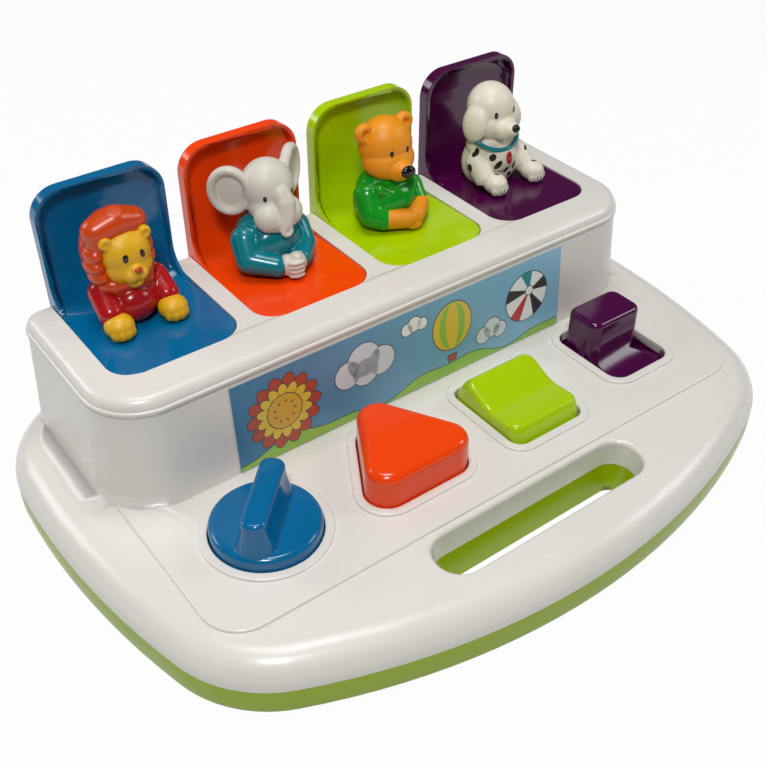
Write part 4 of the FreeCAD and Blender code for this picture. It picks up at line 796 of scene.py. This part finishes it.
class Puppy(Animal):
    """Cream head and forelegs, black spots, teal collar with a red tag."""

    def build(self) -> None:
        """Makes the puppy."""
        # middle, half axes and tilt of each spot
        spots = [Lump(at, size, (0, tilt, 0)) for at, size, tilt in (
            ((-16.6, 66, 19.6), (3.4, 2, 2.8), 20), ((-18, 66, 11.4), (3, 1.7, 2.3), 0),
            ((-9.6, 58, 16.6), (1.6, 4, 2.5), 30), ((-7.2, 57, 12.4), (1.6, 4, 3), 30),
            ((4.8, 59, 8.8), (1.3, 4, 2.3), 15), ((-1.4, 58, 8.4), (1.4, 4, 2), -25),
            ((2.2, 58, 4.6), (1.9, 4, 1.6), 30), ((-16.6, 59, 3.4), (1.7, 2, 1.7), 0),
            ((13.6, 63, 14.4), (1.6, 3, 0.9), -20), ((19, 72, 14), (3, 2, 2.4), 0),
            ((17.6, 66, 22), (3, 1.8, 2), 0))]
        self.clay("body", (
            Lump((-0.6, 71.4, 9), (15.6, 12.2, 14)), Lump((-2, 70.4, 19), (13, 10.6, 8)),
            Lump((-2, 65, 14), (10, 8, 9.4)),
            *limb((-13, 67, 13, 5.8), (-13, 61, 6.6, 5.2)),
            *limb((11.6, 67, 12, 5.8), (13, 60.4, 6.2, 5)),
        ), Paint.CREAM, 5, marks=spots)
        head = self.clay("head", (
            Lump((-2.4, 71.8, 37), (11.4, 11.6, 11.8)), Lump((-2.4, 68.8, 30.6), (11.6, 10, 8.4)),
            Lump((-13, 70, 31.8), (4.6, 7.4, 9.2), (0, 14, 0)),
            Lump((8.2, 70, 31.8), (4.6, 7.4, 9.2), (0, -14, 0)),
            Lump((-2.4, 61, 29.6), (6.6, 6.8, 5.4)), Lump((-2.4, 57, 30.8), (4.4, 4.6, 3.8)),
        ), Paint.CREAM, 16)
        self.clay("collar", wreath((-2, 70, 26), (13.2, 0, 0), (0, 10.9, 6.5), (1.2, 1.2, 1.2), 72),
                  Paint.TEAL, 2)
        for side, x in (("left", -10.4), ("right", 13.6)):
            claws = [Lump((x + shift, 51, 3.6), (0.32, 4, 1.5)) for shift in (-1.8, 0.3, 2.3)]
            spot = Lump((x + 0.6, 56, 9.4), (0.9, 1.6, 1), (0, 0, 40))
            paw = (Lump((x, 56, 4.9), (5.8, 6.2, 4.9)), *toes((x, 55.2, 4.9), 3.7, 2.2))
            self.clay(side + "_paw", paw, Paint.CREAM, 3, marks=(*claws, spot))
        self.eyes(head, -7.6, 3.8, 37, (0.95, 0.5, 1.6))
        self.bead("nose", head, -2.4, 32.4, (2.1, 1.5, 1.9), Paint.BLACK)
        self.bead("tag", self.parts[0], -1.2, 15.4, (1.9, 1.0, 3.0), Paint.TAG)


# --- printed card ---

@dataclass
class RingOfCopies:
    """A Geometry Nodes tree that sets thin oval plates in a ring, such as petals or seeds."""
    plate_sides: int = 28
    tree: Tree = field(init=False)
    sockets: dict[str, str] = field(default_factory=dict)

    def __post_init__(self) -> None:
        """Builds the tree and its named inputs."""
        tree = self.tree = bpy.data.node_groups.new("ring_of_copies", "GeometryNodeTree")
        tree.interface.new_socket(name="Geometry", in_out="OUTPUT",
                                  socket_type="NodeSocketGeometry")
        for name, kind in (("Count", "Int"), ("Ring radius", "Float"), ("Half length", "Float"),
                           ("Half width", "Float"), ("Thickness", "Float"), ("Finish", "Material")):
            socket = tree.interface.new_socket(name=name, in_out="INPUT",
                                               socket_type="NodeSocket" + kind)
            self.sockets[name] = socket.identifier
        given = add_node(tree, "NodeGroupInput").outputs
        ring = add_node(tree, "GeometryNodeMeshCircle", {"Vertices": given["Count"],
                                                         "Radius": given["Ring radius"]})
        plate = add_node(tree, "GeometryNodeMeshCylinder",
                         {"Vertices": self.plate_sides, "Radius": 1.0, "Depth": 1.0})
        size = add_node(tree, "ShaderNodeCombineXYZ",
                        {0: given["Half length"], 1: given["Half width"], 2: given["Thickness"]})
        shaped = add_node(tree, "GeometryNodeTransform", {"Geometry": plate.outputs["Mesh"],
                                                          "Scale": size.outputs[0]})
        at = add_node(tree, "GeometryNodeInputPosition")
        outward = add_node(tree, "FunctionNodeAlignRotationToVector", {"Vector": at.outputs[0]},
                           axis="X", pivot_axis="Z")
        copies = add_node(tree, "GeometryNodeInstanceOnPoints",
                          {"Points": ring.outputs[0], "Instance": shaped.outputs[0],
                           "Rotation": outward.outputs[0]})
        real = add_node(tree, "GeometryNodeRealizeInstances", {"Geometry": copies.outputs[0]})
        done = add_node(tree, "GeometryNodeSetMaterial", {"Geometry": real.outputs[0],
                                                          "Material": given["Finish"]})
        add_node(tree, "NodeGroupOutput", {"Geometry": done.outputs[0]})

    def make(self, paint: Paint, **sizes: float) -> Mesh:
        """Runs the tree once.

        Args:
            paint: finish of the plates.
            sizes: values by the input's name, with _ for a space, lengths in metres.
        Returns:
            A plain mesh round the origin.
        """
        obj = link_object("ring", bpy.data.meshes.new("ring"))
        modifier = obj.modifiers.new("Ring", "NODES")
        modifier.node_group = self.tree
        modifier[self.sockets["Finish"]] = paint.value.material()
        for key, value in sizes.items():
            modifier[self.sockets[key.replace("_", " ").capitalize()]] = value
        mesh = settle(obj).data
        bpy.data.objects.remove(obj)
        return mesh


def oval(s: float, t: float, half_width: float, half_height: float) -> list[tuple[float, float]]:
    """Outline of an upright oval on the card, in millimetres."""
    return [(s + half_width * math.cos(a), t + half_height * math.sin(a)) for a in around(48)]


@dataclass
class PictureCard:
    """The printed card on the front of the box: hills, a sunflower, clouds, a balloon and a ball.

    Sizes are in mm; s runs along the card from its middle, and t up its face."""
    lean: float = 4.0
    thickness: float = 0.4
    margin: float = 0.2
    height: float = 42.0
    ink: float = 0.02
    outline: float = 0.42
    foot: tuple[float, float] = field(init=False)
    half_length: float = field(init=False)
    art: list[tuple[Mesh, Paint]] = field(default_factory=list)

    def __post_init__(self) -> None:
        """Reads the lower edge of the card's face from the frame, to a tenth of a micrometre."""
        low, high = (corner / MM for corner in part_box("picture_label"))
        drop = self.thickness * math.sin(math.radians(self.lean))
        self.foot = (round(low.y, 4), round(low.z + drop, 4))
        self.half_length = round(high.x - self.margin, 4)

    def place(self, s: float, t: float, level: int) -> Matrix:
        """Transform from a motif's own plane to the card.

        Args:
            s: place along the card.
            t: height on the card.
            level: ink layer.
        Returns:
            The transform.
        """
        lean = math.radians(self.lean)
        rise = level * self.ink - self.ink * 0.5
        y = self.foot[0] + t * math.sin(lean) - rise * math.cos(lean)
        z = self.foot[1] + t * math.cos(lean) + rise * math.sin(lean)
        return (Matrix.Translation(Vector((s, y, z)) * MM)
                @ Matrix.Rotation(math.radians(90 - self.lean), 4, "X"))

    def patch(self, points: Sequence[tuple[float, float]], level: int, paint: Paint) -> None:
        """Prints one flat patch.

        Args:
            points: its outline on the card; what is past the card's edge is moved to it.
            level: ink layer.
            paint: its colour.
        """
        edge = self.half_length
        kept = [(max(-edge, min(edge, s)), max(0.1, min(self.height, t))) for s, t in points]
        work = bmesh.new()
        corners = [work.verts.new((s * MM, t * MM, self.ink * MM / 2)) for s, t in kept]
        lower = bmesh.ops.extrude_face_region(work, geom=[work.faces.new(corners)])["geom"]
        bmesh.ops.translate(work, vec=(0, 0, -self.ink * MM),
                            verts=[v for v in lower if isinstance(v, bmesh.types.BMVert)])
        bmesh.ops.recalc_face_normals(work, faces=work.faces)
        mesh = to_mesh("patch", work)
        mesh.transform(self.place(0, 0, level))
        self.art.append((mesh, paint))

    def disc(self, s: float, t: float, radius: float, level: int, paint: Paint) -> None:
        """Prints a round patch."""
        self.patch(oval(s, t, radius, radius), level, paint)

    def outlined(self, shapes: Sequence[Point], level: int, paint: Paint) -> None:
        """Prints discs that run together, with one dark line round them all.

        Args:
            shapes: place along the card, height and radius of each disc.
            level: ink layer of the line; the discs are one above it.
            paint: colour of the discs.
        """
        for s, t, radius in shapes:
            self.disc(s, t, radius + self.outline, level, Paint.INK_LINE)
        for s, t, radius in shapes:
            self.disc(s, t, radius, level + 1, paint)

    def sunflower(self, s: float, t: float) -> None:
        """Prints a sunflower: two rings of petals, the upper one half a petal on, and seeds.

        Args:
            s: place along the card.
            t: height on the card.
        """
        rings = RingOfCopies()
        # layer, ink, turn in degrees; then the ring's radius, a petal's half length and half width
        for level, paint, turn, *sizes in ((2, Paint.INK_LINE, 0, 12.6, 5.6, 3.6),
                                           (3, Paint.RUST, 0, 12.6, 5.2, 3.2),
                                           (4, Paint.INK_LINE, 12.9, 9.2, 4.6, 2.7),
                                           (5, Paint.AMBER, 12.9, 9.2, 4.2, 2.3)):
            radius, length, width = (size * MM for size in sizes)
            mesh = rings.make(paint, count=14, ring_radius=radius, half_length=length,
                              half_width=width, thickness=self.ink * MM)
            mesh.transform(Matrix.Rotation(math.radians(turn), 4, "Z"))
            mesh.transform(self.place(s, t, level))
            self.art.append((mesh, paint))
        self.outlined(((s, t, 8.2),), 6, Paint.SEED)
        seeds = rings.make(Paint.RUST, count=9, ring_radius=4.9 * MM, half_length=0.8 * MM,
                           half_width=0.5 * MM, thickness=self.ink * MM)
        seeds.transform(self.place(s, t, 8))
        self.art.append((seeds, Paint.RUST))

    def balloon(self, s: float, t: float, radius: float = 11, tall: float = 1.12) -> None:
        """Prints a hot-air balloon with upright panels and a basket.

        Args:
            s: place along the card.
            t: height on the card.
            radius: half its width.
            tall: its height as a share of its width.
        """
        edge = radius + self.outline
        self.patch(oval(s, t, edge, edge * tall), 4, Paint.INK_LINE)
        panels = ((radius, Paint.AMBER), (7.4, Paint.HILL), (3.6, Paint.AMBER))
        for level, (half, paint) in enumerate(panels, 5):
            self.patch(oval(s, t, half, 12.3), level, paint)
        for wide, narrow, top, low, level, paint in ((3, 2.2, 15.2, 19, 5, Paint.INK_LINE),
                                                     (2.5, 1.9, 15.6, 18.6, 6, Paint.RUST)):
            self.patch([(s - wide, t - top), (s + wide, t - top), (s + narrow, t - low),
                        (s - narrow, t - low)], level, paint)

    def ball(self, s: float, t: float, radius: float, cap: float = 2.2) -> None:
        """Prints a play ball with wedges and a cap a little off its middle.

        Args:
            s: place along the card.
            t: height on the card.
            radius: of the ball.
            cap: radius of the cap.
        """
        self.outlined(((s, t, radius),), 5, Paint.CARD_WHITE)
        hub = (s + 1.5, t + 2.5)
        for middle, paint in ((20, Paint.BLACK_INK), (92, Paint.TEAL_INK), (164, Paint.BLACK_INK),
                              (236, Paint.RED_INK), (308, Paint.BLACK_INK)):
            arc = [math.radians(middle + step * 4) for step in range(-4, 5)]
            rim = [(s + radius * math.cos(a), t + radius * math.sin(a)) for a in arc]
            self.patch([hub, *rim], 7, paint)
        self.disc(*hub, cap + 0.4, 8, Paint.INK_LINE)
        self.disc(*hub, cap, 9, Paint.CARD_WHITE)

    def hills(self) -> None:
        """Prints a run of low hills with a dark edge."""
        for level, lift, paint in ((1, self.outline, Paint.INK_LINE), (2, 0, Paint.HILL)):
            top = [(s, 4.2 + lift + 2.6 * math.sin(s / 13) + 1.2 * math.sin(s / 5.5 + 1))
                   for s in range(-89, 90, 3)]
            self.patch([(-89, 0.1), (89, 0.1), *reversed(top)], level, paint)

    def merge(self) -> Object:
        """Joins all patches into one piece with a finish for each ink.

        Returns:
            The piece.
        """
        work = bmesh.new()
        finishes = list(dict.fromkeys(paint for _, paint in self.art))
        for mesh, paint in self.art:
            start = len(work.faces)
            work.from_mesh(mesh)
            work.faces.ensure_lookup_table()
            for face in work.faces[start:]:
                face.material_index = finishes.index(paint)
            bpy.data.meshes.remove(mesh)
        merged = to_mesh("picture_art", work)
        for paint in finishes:
            merged.materials.append(paint.value.material())
        return link_object("picture_art", merged)

    def build(self) -> None:
        """Prints the card and puts it on the base."""
        self.hills()
        self.sunflower(-66, 21)
        self.outlined(((-34, 24, 6.6), (-25.5, 28.2, 8.4), (-16.5, 24.6, 7), (-25, 22, 6.6)), 3,
                      Paint.CLOUD)
        self.outlined(((-2.2, 33.6, 3), (1.8, 35, 3.6), (6, 33.8, 2.8)), 3, Paint.CARD_WHITE)
        self.balloon(23, 25.6)
        self.outlined(((41.6, 12.6, 4.2), (46.8, 15, 5), (51.6, 12.4, 3.9)), 3, Paint.CLOUD)
        self.ball(68, 23.5, 12.6)
        art = self.merge()
        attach(art, "base")
        LOG.info("%s: %d patches", art.name, len(self.art))


# --- shells, lids and controls ---

@dataclass
class Mouldings:
    """The moulded pieces: shells, and for each colour a lid and a control with its own body."""
    shells: tuple[tuple[str, str, Paint], ...] = (
        ("bottom_shell", "green_abs", Paint.GREEN),
        ("deck_shell", "white_abs", Paint.WHITE),
        ("top_frame", "white_abs", Paint.WHITE),
    )
    controls: tuple[tuple[str, Paint, str, str], ...] = (
        ("blue", Paint.BLUE, "knob", "knob"),
        ("orange", Paint.ORANGE, "push_button", "button"),
        ("lime", Paint.LIME, "rocker", "rocker"),
        ("purple", Paint.PURPLE, "slider", "slider"),
    )

    def build(self) -> None:
        """Replaces each moulding."""
        for node, slot, paint in self.shells:
            stand_in(node, paint, "base")
        for colour, paint, control, body in self.controls:
            stand_in(colour + "_lid", paint, colour + "_lid")
            stand_in(control, paint, body)


@dataclass
class LatchSprings:
    """The four coil springs under the latches."""
    stroke: float = 3.0
    crease: float = 60

    def build(self) -> None:
        """Replaces each spring by a smooth copy with a mesh of its own."""
        for colour in COLOURS:
            node = colour + "_latch_spring"
            piece = stand_in(node, Paint.SPRING, "base", self.crease)
            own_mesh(piece)


@dataclass
class Works:
    """The inner and metal pieces and the card, which keep their shapes and get a finish."""
    acetal: tuple[str, ...] = ("slider_keeper", *(colour + "_latch" for colour in COLOURS))
    steel: tuple[str, ...] = (
        "case_screws", "rocker_pin", *(colour + "_hinge_pin" for colour in COLOURS),
        "lion_screws", "elephant_screws", "bear_screws", "puppy_screws")
    spring: tuple[str, ...] = tuple(colour + "_lid_spring" for colour in COLOURS)
    card: tuple[str, ...] = ("picture_label",)

    def build(self) -> None:
        """Dresses the pieces."""
        for nodes, paint in ((self.acetal, Paint.ACETAL), (self.steel, Paint.STEEL),
                             (self.spring, Paint.SPRING), (self.card, Paint.SKY)):
            for node in nodes:
                for slot in frame["nodes"][node].material_slots:
                    slot.material = paint.value.material()
                LOG.info("%s: %s", node, paint.value.name)


# --- studio ---

@dataclass(frozen=True)
class Lamp:
    """A square soft box: its place and side in metres, and its power in watts."""
    name: str
    at: Point
    size: float
    power: float


@dataclass
class Studio:
    """Camera, lights and floor. The camera's place is in mm, its angles in degrees."""
    camera_at: Point = (-232.1, -281.6, 329.2)
    yaw: float = 36.72
    pitch: float = 38.82
    roll: float = 0.10
    lens: float = 49.74
    sensor: float = 36
    aim: Point = (0, 0, 0.04)
    lamps: tuple[Lamp, ...] = (
        Lamp("key", (-0.45, -0.5, 1.0), 0.2, 6.2),
        Lamp("fill", (1.0, -0.5, 0.8), 0.4, 3.0),
        Lamp("rear", (-0.8, 1.0, 0.75), 0.5, 4.0),
        Lamp("top", (0.0, 0.1, 1.45), 0.55, 8.0),
    )
    ambient: float = 0.09
    floor_size: float = 3
    floor_gap: float = 0.0002
    glow: float = 0.95

    def build(self) -> None:
        """Sets up the studio."""
        self.place_camera()
        for lamp in self.lamps:
            self.place_lamp(lamp)
        self.place_world()
        self.place_floor()
        bpy.context.scene.view_settings.view_transform = "Standard"

    def place_camera(self) -> None:
        """Sets the camera."""
        data = bpy.data.cameras.new("camera")
        data.lens = self.lens
        data.sensor_width = self.sensor
        data.clip_start = 0.01
        camera = bpy.data.objects.new("camera", data)
        turn = (Matrix.Rotation(math.radians(-self.yaw), 4, "Z")
                @ Matrix.Rotation(math.radians(90 - self.pitch), 4, "X")
                @ Matrix.Rotation(math.radians(self.roll), 4, "Z"))
        camera.matrix_world = Matrix.Translation(Vector(self.camera_at) * MM) @ turn
        bpy.context.scene.collection.objects.link(camera)
        bpy.context.scene.camera = camera

    def place_lamp(self, lamp: Lamp) -> None:
        """Aims a soft box at the toy.

        Args:
            lamp: the soft box.
        """
        data = bpy.data.lights.new(lamp.name, "AREA")
        data.size = lamp.size
        data.energy = lamp.power
        light = bpy.data.objects.new(lamp.name, data)
        at = Vector(lamp.at)
        turn = (Vector(self.aim) - at).to_track_quat("-Z", "Y").to_matrix().to_4x4()
        light.matrix_world = Matrix.Translation(at) @ turn
        bpy.context.scene.collection.objects.link(light)

    def place_world(self) -> None:
        """A dim world that looks white to the camera."""
        world = bpy.context.scene.world = bpy.data.worlds.new("studio")
        world.cycles.sampling_method = "NONE"
        tree = new_tree(world)
        path = add_node(tree, "ShaderNodeLightPath")
        dim = add_node(tree, "ShaderNodeBackground",
                       {"Color": linear("E8EAEE"), "Strength": self.ambient})
        seen = add_node(tree, "ShaderNodeBackground", {"Color": linear("FFFFFF"), "Strength": 1.0})
        mix = add_node(tree, "ShaderNodeMixShader", {0: path.outputs["Is Camera Ray"],
                                                     1: dim.outputs[0], 2: seen.outputs[0]})
        add_node(tree, "ShaderNodeOutputWorld", {"Surface": mix.outputs[0]})

    def place_floor(self) -> None:
        """A pale floor that keeps a soft shadow."""
        work = bmesh.new()
        bmesh.ops.create_grid(work, x_segments=1, y_segments=1, size=self.floor_size)
        floor = link_object("floor", to_mesh("floor", work))
        floor.location.z = -self.floor_gap
        material = bpy.data.materials.new("floor_paper")
        tree = new_tree(material)
        path = add_node(tree, "ShaderNodeLightPath").outputs
        direct = path["Is Camera Ray"]
        for ray in ("Is Glossy Ray", "Is Transmission Ray"):
            direct = add_node(tree, "ShaderNodeMath", {0: direct, 1: path[ray]},
                              operation="MAXIMUM").outputs[0]
        share = add_node(tree, "ShaderNodeMath", {0: direct, 1: self.glow}, operation="MULTIPLY")
        paper = add_node(tree, "ShaderNodeBsdfDiffuse", {"Color": linear("D0D0CE")})
        white = add_node(tree, "ShaderNodeEmission", {"Color": linear("FFFFFF"), "Strength": 1.0})
        mix = add_node(tree, "ShaderNodeMixShader", {0: share.outputs[0], 1: paper.outputs[0],
                                                     2: white.outputs[0]})
        add_node(tree, "ShaderNodeOutputMaterial", {"Surface": mix.outputs[0]})
        # the glow is only for what the eye and the gloss see, so it isn't a lamp
        material.cycles.emission_sampling = "NONE"
        floor.data.materials.append(material)


def main() -> None:
    """Builds the whole toy and its studio."""
    logging.basicConfig(level=logging.INFO, format="%(message)s")
    Studio().build()
    Mouldings().build()
    LatchSprings().build()
    Works().build()
    PictureCard().build()
    for animal in (Lion("lion", "blue_lid"), Elephant("elephant", "orange_lid"),
                   Bear("bear", "lime_lid"), Puppy("puppy", "purple_lid")):
        animal.finish()


if __name__ == "__main__":
    main()
